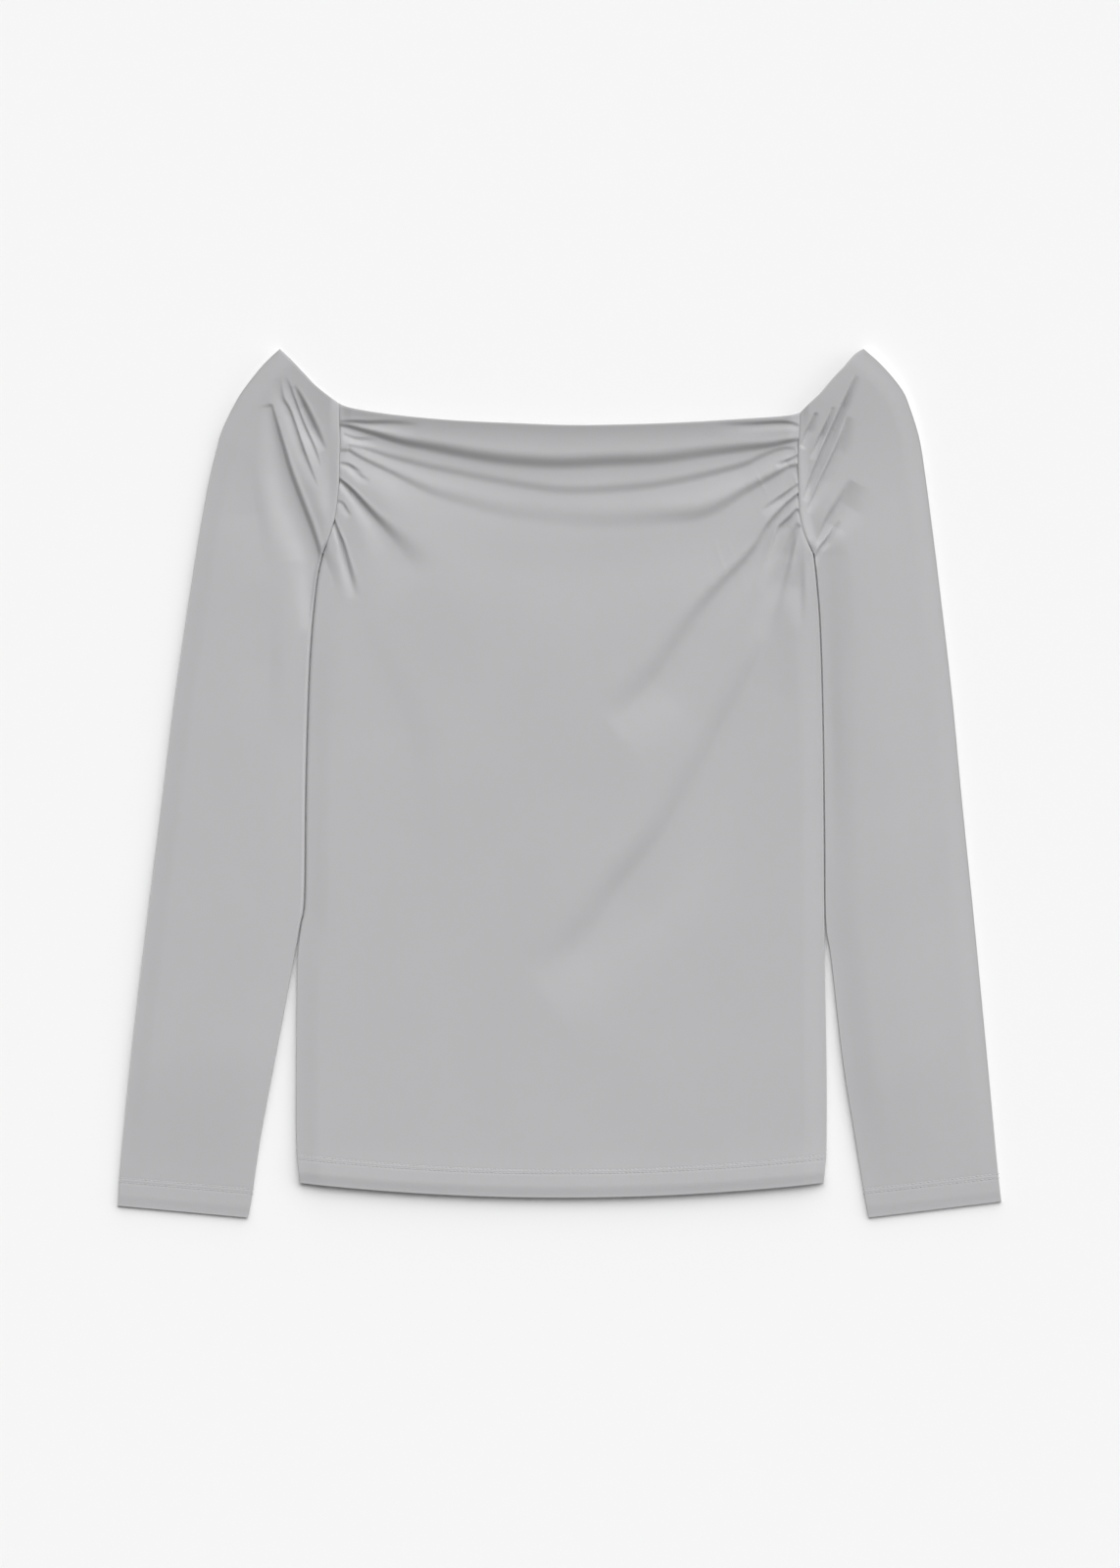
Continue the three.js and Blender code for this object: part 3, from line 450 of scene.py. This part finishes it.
def shell(name, outer, inner, tube_from=None):
    """A closed thin shell from matching grids of outer and inner points, in millimetres.
    The inside has every second row and column. From the row tube_from on, both ends of a row are one."""
    rows, columns = outer.shape[:2]
    inner = inner[::2, ::2]
    out = np.arange(rows * columns).reshape(rows, columns)
    into = out.size + np.arange(inner.shape[0] * inner.shape[1]).reshape(inner.shape[:2])
    if tube_from is not None:
        out[tube_from:, -1] = out[tube_from:, 0]
        into[tube_from // 2:, -1] = into[tube_from // 2:, 0]
    faces = []
    for grid in (out, into):
        corners = [grid[:-1, :-1], grid[1:, :-1], grid[1:, 1:], grid[:-1, 1:]]
        faces += np.stack(corners, -1).reshape(-1, 4).tolist()
    last = rows - 1 if tube_from is None else tube_from
    rims = [(out[0], into[0]), (out[-1], into[-1])]
    rims += [(out[: last + 1, k], into[: last // 2 + 1, k]) for k in (0, -1)]
    for fine, coarse in rims:
        for k in range(len(coarse) - 1):
            a, b, c = fine[2 * k: 2 * k + 3]
            faces += [(a, b, coarse[k]), (b, c, coarse[k + 1]), (b, coarse[k + 1], coarse[k])]
    points = np.vstack([outer.reshape(-1, 3), inner.reshape(-1, 3)]) * MM
    return mesh_object(name, points, faces)


def mesh_object(name, points, faces):
    """A smooth object of these faces, with only the points that they use."""
    mesh = bpy.data.meshes.new(name)
    used = np.unique(np.concatenate([np.asarray(f) for f in faces]))
    renumber = np.zeros(len(points), int)
    renumber[used] = np.arange(len(used))
    mesh.from_pydata(points[used].tolist(), [], [[int(renumber[i]) for i in f] for f in faces])
    work = bmesh.new()
    work.from_mesh(mesh)
    bmesh.ops.recalc_face_normals(work, faces=work.faces)
    work.to_mesh(mesh)
    work.free()
    mesh.polygons.foreach_set("use_smooth", [True] * len(mesh.polygons))
    mesh.validate()
    made = bpy.data.objects.new(name, mesh)
    bpy.context.scene.collection.objects.link(made)
    return made


def rolled(turn, radius, reach, wall, roll):
    """Places on a rolled edge: how far in and how far down the outer side lies, then the inner side.
    The last value is the share of the folds that is left there. turn is 0 where the cloth is level and 1
    at the edge, and roll is 0 where the cloth ends at a gathered seam and 1 where it is rolled over."""
    angle = turn * math.pi / 2
    wide = radius * reach
    level = wide * (1 - turn)
    side_wall = np.minimum(wall, wide * SIDE_WALL)
    out_in = mix(level, wide * (1 - np.sin(angle)), roll)
    out_down = radius * (1 - np.cos(angle)) * roll
    in_in = mix(level, side_wall + (wide - side_wall) * (1 - np.sin(angle)), roll)
    in_down = mix(wall, radius - (radius - wall) * np.cos(angle), roll)
    return out_in, out_down, in_in, in_down, mix(1, 1 - np.sin(angle), roll)


def side_reach(name, y):
    """Reach of the roll beside a sleeve, by the Y of each row."""
    return mix(SIDE_REACH[name], FOLDED_EDGE, smooth((FREE_SIDE - y) / FREE_EASE))


def rounded(outer, inner, from_edge):
    """Rounds the open edges, by bringing both sides of the cloth together over the last bit before them.
    from_edge is each row's distance from the hem or the cuff. The first rows are at the neckline."""
    from_neck = np.concatenate([NOSE, np.full(len(from_edge) - len(NOSE), FAR)])
    near = np.clip(1 - np.minimum(from_neck, from_edge) / NOSE[-1], 0, 1)
    pinch = (NOSE_PINCH * (1 - np.sqrt(1 - near**2)))[:, None, None]
    return mix(outer, inner, pinch), mix(inner, outer, pinch)


def turned_wall(edge, turned):
    """Wall of the cloth by the distance from the edge."""
    return CLOTH + (turned - CLOTH) * (edge < HEM_DEPTH)


def stitch_pull(edge):
    """1 on a row of stitches and less beside it, by the distance from the edge."""
    return sum(np.exp(-(((edge - row) / STITCH_EASE) ** 2)) for row in STITCH_ROWS)


def stitched(edge, droop=HEM_DROOP):
    """The turned-up layer lifts the cloth a little, its edge droops, and the stitches pull it down."""
    lift = HEM_LIFT * smooth((HEM_DEPTH + LIFT_EASE - edge) / LIFT_EASE)
    return lift - droop * smooth(1 - edge / DROOP_EASE) - STITCH_SINK * stitch_pull(edge)


def limited(depth, room):
    """A depth that comes near the room but never passes it."""
    depth = np.maximum(depth, 0)
    return depth / (1 + (depth / room) ** LIMIT_POWER) ** (1 / LIMIT_POWER)


def folded(level, folds, from_seam, roll, armhole):
    """Height of the cloth with the ditch of its gathered seam, and its folds, which the seam pinches.
    No fold is deeper than the layers below allow."""
    seam = (1 - roll) * (1 - smooth(from_seam / SEAM_EASE))
    top = mix(level, mix(SEAM_TOP_AT_NECK, SEAM_TOP, armhole), seam)
    pinched = folds * (1 - SEAM_PINCH * seam)
    depth = limited(-pinched, top - 2 * CLOTH - LAYER_GAP)
    ditch = DITCH * (1 - roll) * np.exp(-((from_seam / DITCH_WIDTH) ** 2))
    return top - ditch, np.where(pinched < 0, -depth, pinched)


def hidden_folds(folds, x, y, upper):
    """How far the folds of the lower cloth rise, with the upper side of the cloth over them at upper."""
    room = np.maximum(upper - 2 * CLOTH - LAYER_GAP, LEAST_ROOM)
    return limited(-relief(folds, x, y), room)


def plain_rows(length, count):
    """How far below the underarm the rows lie, down to an open edge at the given length."""
    return np.concatenate([
        np.linspace(0, 1, count, endpoint=False) ** BODY_EASE * (length - HEM_BAND),
        length - np.linspace(HEM_BAND, SUPPORT, HEM_ROWS - len(NOSE) + 1),
        length - np.array(NOSE[::-1]),
    ])


def side_inset(fan_count, plain_count):
    """How far each row stops from the line between the body and the sleeve."""
    return np.concatenate([np.full(fan_count, SEAM_HALF), np.full(plain_count, SIDE_GAP / 2)])


def body_rows(neck_drop, hem_rise):
    """Rows of the body from the neckline to the hem: both ends, the Y of the middle, the share of the
    armhole, how far the sides are rolled and the distance from the hem."""
    shares = np.concatenate([np.zeros(len(NOSE)), np.linspace(FAN_START, 1, FAN_ROWS, endpoint=False)])
    nose = np.concatenate([NOSE, np.zeros(FAN_ROWS)])
    depth = UNDERARM - HEM_CORNER - hem_rise
    drops = plain_rows(depth, BODY_ROWS)
    ends = []
    for name, inward in zip(SLEEVES, (1, -1)):
        top = ARMHOLE[name][0][1]
        upper = crossing(ARMHOLE[name], 1, mix(top, UNDERARM, shares) - nose)
        end = np.vstack([upper, crossing(BODY_SIDE[name], 1, UNDERARM - drops)])
        end[:, 0] += inward * side_inset(len(shares), len(drops))
        ends.append(end)
    fan = NECK_MIDDLE - FAN_DEPTH * shares**FAN_POWER - neck_drop * (1 - shares) - nose
    hem_end = HEM_MIDDLE + hem_rise
    part = drops / (depth - HEM_DEPTH)
    straight = mix(NECK_MIDDLE - FAN_DEPTH, hem_end + HEM_DEPTH, part)
    armhole = np.concatenate([shares, np.ones(len(drops))])
    return {
        "left": ends[0],
        "right": ends[1],
        "middle": np.concatenate([fan, np.where(part < 1, straight, hem_end + depth - drops)]),
        "armhole": armhole,
        "roll": from_share(ROLL_SHARE, armhole),
        "from_hem": np.concatenate([np.full(len(shares), FAR), depth - drops]),
    }


def row_height(left, right, middle, share):
    """Y of a row that sags from its ends to its middle, at shares of its width."""
    return mix(left, right, share) + (1 - (1 - 2 * share) ** 2) * (middle - (left + right) / 2)


def body_points(rows, distance):
    """Seen from above, the points of every row at distances from its left end."""
    left, right = rows["left"], rows["right"]
    share = distance / (right - left)[:, :1]
    held = np.clip(share, 0, 1)
    at_neck = crossing(NECKLINE, 0, mix(NECKLINE[0][0], NECKLINE[-1][0], held))[..., 1]
    fullness = at_neck - row_height(NECKLINE[0][1], NECKLINE[-1][1], NECK_MIDDLE, held)
    fade = np.clip(1 - rows["armhole"] / NECK_FADE, 0, 1)[:, None]
    y = row_height(left[:, 1:], right[:, 1:], rows["middle"][:, None], share) + fullness * fade
    return left[:, :1] + distance, y


def front_level(x, y, side_distance, roll, armhole, from_hem):
    """Height of the front's upper side and the part of it that is folds."""
    below_neck = np.maximum(crossing(NECKLINE, 0, x)[..., 1] - y, 0)
    hem_line = mix(HEM_MIDDLE, HEM_CORNER, (x / HEM_HALF_WIDTH) ** 2)
    level = mix(NECK_TOP, FRONT_TOP, smooth(below_neck / NECK_EASE))
    level = level + NECK_FLARE * np.exp(-((below_neck / FLARE_EASE) ** FLARE_POWER))
    level = level - (FRONT_TOP - HEM_TOP) * (1 - smooth((y - hem_line) / HEM_EASE))
    level = level - SIDE_SAG * roll * (1 - smooth(side_distance / SIDE_EASE))
    top, folds = folded(level, relief(FRONT_FOLDS, x, y), side_distance, roll, armhole)
    return top, folds + stitched(from_hem)


def body_columns(rows, ends, wall, count):
    """Across every row, how far from its left end and how far down the outer side lies, then the inner
    side. The last value is the share of the folds that is left. ends are the heights of both ends."""
    width = (rows["right"] - rows["left"])[:, :1]
    roll = rows["roll"][:, None]
    radii = [end / 2 - SEAM_HALF for end in ends]
    reaches = [side_reach(name, rows["left"][:, 1:]) for name in SLEEVES]
    left = rolled((1 - ROLLS)[None], radii[0], reaches[0], wall, roll)
    right = rolled((1 - ROLLS)[None, ::-1], radii[1], reaches[1], wall, roll)
    s = np.linspace(0, 1, count + 1)
    crowded = s - CROWDING * np.sin(2 * math.pi * s) / (2 * math.pi)
    level = mix(radii[0] * reaches[0], width - radii[1] * reaches[1], crowded[None])
    flat = np.zeros_like(level)
    return [
        np.hstack([left[0], level, width - right[0]]),
        np.hstack([left[1], flat, right[1]]),
        np.hstack([left[2], level, width - right[2]]),
        np.hstack([left[3], flat + wall, right[3]]),
        np.hstack([left[4], flat + 1, right[4]]),
    ]


def body_panel(name, is_back):
    """The front or the back. Also gives its outer points and the distance of each row from the hem."""
    rows = body_rows(BACK_NECK_DROP, BACK_HEM_RISE) if is_back else body_rows(0, 0)
    width = (rows["right"] - rows["left"])[:, :1]
    roll, armhole, edge = (rows[key][:, None] for key in ("roll", "armhole", "from_hem"))
    at_side = np.zeros_like(width)
    ends = [
        front_level(end[:, :1], end[:, 1:], at_side, roll, armhole, edge)[0] + stitched(edge)
        for end in (rows["left"], rows["right"])
    ]
    wall = turned_wall(edge, TURNED)
    columns = body_columns(rows, ends, wall, BACK_COLUMNS if is_back else FRONT_COLUMNS)
    distance_out, down_out, distance_in, down_in, keep = columns
    x, y = body_points(rows, distance_out)
    inner_x, inner_y = body_points(rows, distance_in)
    side_distance = np.minimum(distance_out, width - distance_out)
    top, folds = front_level(x, y, side_distance, roll, armhole, edge)
    if is_back:
        bend = (hidden_folds(BACK_FOLDS, x, y, top + folds) + UNDER_SINK * stitch_pull(edge)) * keep
        out_z, in_z = down_out + bend, down_in + bend
    else:
        edge_top = np.where(distance_out < width / 2, ends[0], ends[1])
        height = mix(top, edge_top, roll * (1 - keep)) + folds * keep
        out_z, in_z = height - down_out, height - down_in
    outer = np.stack([x, y, out_z], -1)
    inner = np.stack([inner_x, inner_y, in_z], -1)
    outer, inner = rounded(outer, inner, rows["from_hem"])
    return shell(name, outer, inner), outer, rows["from_hem"]


def sleeve_rows(name):
    """Rows of a sleeve from the neckline to the cuff: the ends at the seam and at the outer fold, the
    share of the armhole, the share of the length below it, how far the seam side is rolled and the
    distance from the cuff. tube_from is the first row that is closed to a tube."""
    seam_top = ARMHOLE[name][0]
    shares = np.linspace(SLEEVE_FAN_START, 1, SLEEVE_FAN_ROWS, endpoint=False)
    shares = np.concatenate([SLEEVE_NOSE, shares])
    length = UNDERARM - SLEEVE_INNER[name][-1][1]
    drops = plain_rows(length, SLEEVE_ROWS)
    start = np.vstack([
        crossing(ARMHOLE[name], 1, mix(seam_top[1], UNDERARM, shares)),
        crossing(SLEEVE_INNER[name], 1, UNDERARM - drops),
    ])
    start[:, 0] += math.copysign(1, seam_top[0]) * side_inset(len(shares), len(drops))
    end = np.vstack([along(SLEEVE_TOP_FOLD[name], shares), along(SLEEVE_OUTER[name], drops / length)])
    armhole = np.concatenate([shares, np.ones(len(drops))])[:, None]
    return {
        "start": start,
        "end": end,
        "armhole": armhole,
        "down": np.concatenate([np.zeros(len(shares)), drops / length])[:, None],
        "roll": from_share(ROLL_SHARE, armhole),
        "from_cuff": np.concatenate([np.full(len(shares), FAR), length - drops])[:, None],
        "tube_from": len(shares),
    }


def column_power(rows):
    """The power that crowds the columns of each row towards the seam."""
    at_neck, at_underarm, below = SLEEVE_CROWDING
    return np.where(
        rows["armhole"] < 1,
        mix(at_neck, at_underarm, rows["armhole"]),
        mix(at_underarm, below, smooth(rows["down"] / CROWDING_FADE)),
    )


def sleeve_columns(name, rows, width, height, wall):
    """Once around every row: distance from the seam and height on the outer side, the same on the inner
    side, the share of the upper folds that is left and the share of the folds underneath."""
    radius = height / 2
    reach = side_reach(name, rows["start"][:, 1:])
    wide = radius * reach
    fold_reach = radius * FOLDED_EDGE
    fold_start = width - fold_reach
    zero = np.zeros_like(width)
    parts = []

    def add(*values):
        count = np.broadcast(*values).shape[1]
        parts.append([np.broadcast_to(v, (len(width), count)) for v in values])

    def seam_side(turn):
        return rolled(turn[None], radius, reach, wall, rows["roll"])

    # up from the middle of the seam side
    out_in, out_down, in_in, in_down, keep = seam_side(1 - ROLLS)
    add(out_in, height - out_down, in_in, height - in_down, keep, zero)
    # over the upper side
    s = np.arange(SLEEVE_COLUMNS)[None] / SLEEVE_COLUMNS
    level = wide + (fold_start - wide) * s ** column_power(rows)
    add(level, height + zero, level, height - wall, zero + 1, zero)
    # around the outer fold
    turn = np.linspace(0, math.pi, 2 * ROLL_STEPS + 1)[None]
    swing, rise = np.sin(turn), np.cos(turn)
    inner_reach = fold_reach - np.minimum(wall, fold_reach * SIDE_WALL)
    add(
        fold_start + fold_reach * swing, radius * (1 + rise),
        fold_start + inner_reach * swing, radius + (radius - wall) * rise,
        np.where(rise > 0, 1 - swing, 0) + zero, zero,
    )
    # back along the underside
    s = np.arange(SLEEVE_BACK_COLUMNS - 1, -1, -1)[None] / SLEEVE_BACK_COLUMNS
    level = wide + (fold_start - wide) * s
    add(level, zero, level, wall + zero, zero, zero + smooth((1 - s) / UNDER_START))
    # up to the middle of the seam side
    out_in, out_down, in_in, in_down, keep = seam_side(ROLLS + 1 / ROLL_STEPS)
    add(out_in, out_down, in_in, in_down, zero, keep)
    return [np.hstack(part) for part in zip(*parts)]


def sleeve_points(name, rows, share):
    """Seen from above, the points of every row at shares of its width.
    The first rows follow the curve of the neckline."""
    held = np.clip(share, 0, 1)
    neck = along(SLEEVE_NECK[name], held)
    neck_start, neck_end = along(SLEEVE_NECK[name], np.array([0.0, 1.0]))
    chord = mix(neck_start, neck_end, held[..., None])
    curved = np.clip(1 - rows["armhole"] / NECK_FADE, 0, 1)[..., None]
    return mix(rows["start"][:, None], rows["end"][:, None], share[..., None]) + (neck - chord) * curved


def sleeve(name, piece_name):
    """A sleeve. Also gives its outer points and the distance of each row from the cuff."""
    rows = sleeve_rows(name)
    armhole, edge = rows["armhole"], rows["from_cuff"]
    width = np.linalg.norm(rows["end"] - rows["start"], axis=1)[:, None]
    cuff = from_share(CUFF_START, rows["down"])
    lift = SHOULDER_LIFT[name] * np.clip(1 - armhole / SHOULDER_END, 0, 1) ** 2
    height = SLEEVE_TOP[name] + lift - CUFF_DROP[name] * cuff
    columns = sleeve_columns(name, rows, width, height, turned_wall(edge, CUFF_TURNED))
    out_distance, out_z, in_distance, in_z, keep, keep_under = columns
    out = sleeve_points(name, rows, out_distance / width)
    into = sleeve_points(name, rows, in_distance / width)
    x, y = out[..., 0], out[..., 1]

    crown = SLEEVE_CROWN[name] * (1 - cuff) * smooth(out_distance / CROWN_EASE)
    crown = crown * smooth((width - out_distance) / OUTER_EASE) * from_share(CROWN_START, armhole)
    relief_here = relief(SLEEVE_FOLDS[name], x, y)
    top, folds = folded(height + crown, relief_here, out_distance, rows["roll"], armhole)
    top = top - SLEEVE_SAG[name] * (1 - cuff) * (1 - smooth((width - out_distance) / SAG_EASE))
    under = hidden_folds(SLEEVE_UNDER_FOLDS[name], x, y, top + folds) + UNDER_SINK * stitch_pull(edge)
    bend = (top - height + folds + stitched(edge, CUFF_DROOP)) * keep + under * keep_under

    outer = np.concatenate([out, (out_z + bend)[..., None]], -1)
    inner = np.concatenate([into, (in_z + bend)[..., None]], -1)
    outer, inner = rounded(outer, inner, edge[:, 0])
    return shell(piece_name, outer, inner, rows["tube_from"]), outer, edge[:, 0]


# Thread of the twin stitching
STITCH_PITCH = 2.9
STITCH_LENGTH = 2.3
LENGTH_SPREAD = (0.9, 1.08)
THREAD = 0.24  # radius
RAISED = 0.3  # how far a stitch's middle line lies over the cloth, in radii
END_SINK = 0.9  # and how far its ends go down from there
STRAY = 0.06  # the most that a stitch lies beside its row
RINGS = [(-1, 0.3), (-0.75, 0.9), (0, 1.05), (0.75, 0.9), (1, 0.3)]  # share of the half length, and radii
SIDES = 6
READ_SPAN = 0.6  # to both sides of a stitch's middle, where its direction is read
STITCH_LOWEST = 0.01  # over the floor
rng = np.random.default_rng(7)


def stitch_row(outer, edge, distance):
    """Centres, directions and normals of the stitches of one row, at a distance from the edge."""
    order = np.argsort(edge)
    near = order[np.searchsorted(edge[order], distance)]
    above = near - 1 if edge[near] < distance else near + 1
    share = (distance - edge[near]) / (edge[above] - edge[near])
    line = mix(outer[near], outer[above], share)
    across = outer[near] - outer[above]
    if edge[near] > edge[above]:
        across = -across
    reached = lengths(line)
    count = int(reached[-1] / STITCH_PITCH)
    places = (np.arange(count) + 0.5) * reached[-1] / count

    def read(values, shift=0.0):
        return np.stack([np.interp(places + shift, reached, values[:, k]) for k in range(3)], -1)

    centre = read(line)
    direction = read(line, READ_SPAN) - read(line, -READ_SPAN)
    direction /= np.linalg.norm(direction, axis=1)[:, None]
    normal = np.cross(read(across), direction)
    normal /= np.linalg.norm(normal, axis=1)[:, None]
    return centre, direction, normal


def stitch_points(centre, direction, normal, sideways, half):
    """The rings of one stitch, from end to end."""
    points = []
    for place, size in RINGS:
        sink = normal * THREAD * END_SINK * abs(place) ** 3
        for k in range(SIDES):
            angle = 2 * math.pi * k / SIDES
            around = (math.cos(angle) * normal + math.sin(angle) * sideways) * THREAD * size
            points.append(centre + direction * half * place + around - sink)
    return points


def stitch_faces(first):
    """The faces between the rings, and one at each end."""
    faces = []
    for ring in range(len(RINGS) - 1):
        a = first + ring * SIDES
        for k in range(SIDES):
            e = (k + 1) % SIDES
            faces.append((a + k, a + e, a + SIDES + e, a + SIDES + k))
    for ring in (0, len(RINGS) - 1):
        faces.append(tuple(first + ring * SIDES + k for k in range(SIDES)))
    return faces


def stitching(name, outer, edge, outward):
    """Both rows of stitches as one mesh. outward is 1 or -1, and turns the normals out of the cloth."""
    points, faces = [], []
    for distance in STITCH_ROWS:
        centre, direction, normal = stitch_row(outer, edge, distance)
        normal = normal * outward
        sideways = np.cross(direction, normal)
        half = STITCH_LENGTH / 2 * rng.uniform(*LENGTH_SPREAD, len(centre))[:, None]
        stray = sideways * rng.uniform(-STRAY, STRAY, len(centre))[:, None]
        centre = centre + normal * THREAD * RAISED + stray
        for one in zip(centre, direction, normal, sideways, half):
            faces += stitch_faces(len(points))
            points += stitch_points(*one)
    points = np.array(points)
    points[:, 2] = np.maximum(points[:, 2], STITCH_LOWEST)
    return mesh_object(name, points * MM, faces)


JERSEY_COLOUR = (0.459, 0.454, 0.464)
THREAD_COLOUR = (0.5, 0.495, 0.505)
FLOOR_COLOUR = (0.9, 0.9, 0.9)
CLOUDINESS = 0.025  # how much darker and lighter the jersey's colour gets in its faint clouds
WALE = 0.62 * MM  # width of a column of knitted stitches
COURSE = 0.5 * MM  # height of a row of them
V_SLANT = 1.2  # how steeply both arms of a stitch's V run
FUZZ_SHARE = 0.8
TWIST_SHADE = 0.85  # painted shade in the grooves between the thread's turns: its colour there, as a share


def scaled(colour, factor):
    """The colour times a factor, opaque."""
    return tuple(c * factor for c in colour) + (1,)


def new_material(name):
    """A material with its nodes, links and shader."""
    material = bpy.data.materials.new(name)
    material.use_nodes = True
    tree = material.node_tree
    return material, tree.nodes, tree.links, tree.nodes["Principled BSDF"]


def jersey(name, turn=0.0):
    """Fine knitted jersey: columns of small V shapes, a soft sheen and very faint cloudy colour."""
    material, nodes, links, shader = new_material(name)
    shader.inputs["Roughness"].default_value = 0.82
    shader.inputs["Specular IOR Level"].default_value = 0.25
    shader.inputs["Sheen Weight"].default_value = 0.12
    shader.inputs["Sheen Roughness"].default_value = 0.45

    def maths(operation, *values):
        made = nodes.new("ShaderNodeMath")
        made.operation = operation
        for socket, value in zip(made.inputs, values):
            if isinstance(value, (int, float)):
                socket.default_value = value
            else:
                links.new(value, socket)
        return made.outputs[0]

    def noise(scale, detail):
        made = nodes.new("ShaderNodeTexNoise")
        made.inputs["Scale"].default_value = scale
        made.inputs["Detail"].default_value = detail
        links.new(place, made.inputs["Vector"])
        return made.outputs["Fac"]

    place = nodes.new("ShaderNodeTexCoord").outputs["Object"]
    turned = nodes.new("ShaderNodeMapping")
    turned.inputs["Rotation"].default_value = (0, 0, turn)
    links.new(place, turned.inputs["Vector"])
    split = nodes.new("ShaderNodeSeparateXYZ")
    links.new(turned.outputs[0], split.inputs[0])
    wale = maths("DIVIDE", split.outputs["X"], WALE)
    course = maths("DIVIDE", split.outputs["Y"], COURSE)
    in_wale = maths("ABSOLUTE", maths("SUBTRACT", maths("FRACT", wale), 0.5))
    slanted = maths("ADD", course, maths("MULTIPLY", in_wale, V_SLANT))
    loops = maths("SINE", maths("MULTIPLY", slanted, 2 * math.pi))
    ribs = maths("COSINE", maths("MULTIPLY", wale, 2 * math.pi))
    knit = maths("ADD", maths("MULTIPLY", loops, 0.5), maths("MULTIPLY", ribs, -0.5))

    bump = nodes.new("ShaderNodeBump")
    bump.inputs["Strength"].default_value = 0.35
    bump.inputs["Distance"].default_value = 0.06 * MM
    fuzz = noise(scale=900, detail=3)
    links.new(maths("ADD", knit, maths("MULTIPLY", fuzz, FUZZ_SHARE)), bump.inputs["Height"])
    links.new(bump.outputs["Normal"], shader.inputs["Normal"])

    tint = nodes.new("ShaderNodeMix")
    tint.data_type = "RGBA"
    links.new(noise(scale=14, detail=2), tint.inputs["Factor"])
    tint.inputs["A"].default_value = scaled(JERSEY_COLOUR, 1 - CLOUDINESS)
    tint.inputs["B"].default_value = scaled(JERSEY_COLOUR, 1 + CLOUDINESS)
    links.new(tint.outputs["Result"], shader.inputs["Base Color"])
    return material


def stitch_thread(name):
    """Twisted thread, with shade painted into the grooves between its turns."""
    material, nodes, links, shader = new_material(name)
    shader.inputs["Roughness"].default_value = 0.5
    place = nodes.new("ShaderNodeTexCoord")
    twist = nodes.new("ShaderNodeTexWave")
    twist.inputs["Scale"].default_value = 1400
    twist.inputs["Distortion"].default_value = 1.5
    links.new(place.outputs["Object"], twist.inputs["Vector"])
    # painted shade: the colour is darker in the grooves between the thread's turns
    ramp = nodes.new("ShaderNodeValToRGB")
    ramp.color_ramp.elements[0].color = scaled(THREAD_COLOUR, TWIST_SHADE)
    ramp.color_ramp.elements[1].color = scaled(THREAD_COLOUR, 1)
    links.new(twist.outputs["Fac"], ramp.inputs[0])
    links.new(ramp.outputs[0], shader.inputs["Base Color"])
    return material


def pale_floor(name):
    """Plain, matt and nearly white."""
    material, _, _, shader = new_material(name)
    shader.inputs["Base Color"].default_value = scaled(FLOOR_COLOUR, 1)
    shader.inputs["Roughness"].default_value = 0.95
    shader.inputs["Specular IOR Level"].default_value = 0.1
    return material


def dress(piece, material, node_name=None):
    """Gives a piece its material and says what it rides on and the node that it replaces."""
    piece.data.materials.append(material)
    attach(piece, "root")
    if node_name:
        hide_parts(node_name)
    return piece


body_jersey = jersey("body_jersey")
right_jersey = jersey("right_sleeve_jersey", turn=math.radians(-7))
left_jersey = jersey("left_sleeve_jersey", turn=math.radians(6))
thread = stitch_thread("twin_stitch_thread")

front, front_grid, front_edge = body_panel("front_cloth", is_back=False)
back, back_grid, back_edge = body_panel("back_cloth", is_back=True)
right, right_grid, right_edge = sleeve("right_sleeve", "right_sleeve_cloth")
left, left_grid, left_edge = sleeve("left_sleeve", "left_sleeve_cloth")
dress(front, body_jersey, "front_panel")
dress(back, body_jersey, "back_panel")
dress(right, right_jersey, "right_sleeve")
dress(left, left_jersey, "left_sleeve")

hem_front = dress(stitching("front_hem_stitches", front_grid, front_edge, 1), thread)
hem_back = dress(stitching("back_hem_stitches", back_grid, back_edge, -1), thread)
cuff_right = dress(stitching("right_cuff_stitches", right_grid, right_edge, -1), thread)
cuff_left = dress(stitching("left_cuff_stitches", left_grid, left_edge, 1), thread)

# Floor, light and camera
FLOOR_HALF = 6.0
floor_corners = np.array([(-1, -1, 0), (1, -1, 0), (1, 1, 0), (-1, 1, 0)]) * FLOOR_HALF
floor = mesh_object("floor", floor_corners, [(0, 1, 2, 3)])
floor.data.materials.append(pale_floor("pale_floor"))

scene = bpy.context.scene
world = bpy.data.worlds.new("soft_studio")
world.use_nodes = True
world.node_tree.nodes["Background"].inputs["Color"].default_value = (1, 1, 1, 1)
world.node_tree.nodes["Background"].inputs["Strength"].default_value = 0.2
scene.world = world


def sun(name, energy, width, turns):
    """A sun light. width is how large it looks in the sky, and turns are its rotation, all in degrees."""
    light = bpy.data.objects.new(name, bpy.data.lights.new(name, "SUN"))
    light.data.energy = energy
    light.data.angle = math.radians(width)
    light.rotation_euler = [math.radians(turn) for turn in turns]
    scene.collection.objects.link(light)


sun("key_light", energy=4.34, width=84, turns=(-58, 0, -10))
sun("side_light", energy=0.87, width=40, turns=(0, 72, 10))

# The photograph's frame is 1143 by 1600 pixels at 0.70 mm a pixel, seen straight from above.
# Its middle is half a pixel to the right of the garment's middle and half a pixel below it.
PIXEL = 0.70 * MM
FRAME_HEIGHT = 1600
FRAME_SHIFT = 0.5 * PIXEL
CAMERA_HEIGHT = 3.2
SENSOR = 36
camera = bpy.data.objects.new("camera", bpy.data.cameras.new("camera"))
camera.data.sensor_width = SENSOR
camera.data.lens = SENSOR * CAMERA_HEIGHT / (FRAME_HEIGHT * PIXEL)
camera.location = (FRAME_SHIFT, -FRAME_SHIFT, CAMERA_HEIGHT)
scene.collection.objects.link(camera)
scene.camera = camera
scene.view_settings.view_transform = "Standard"
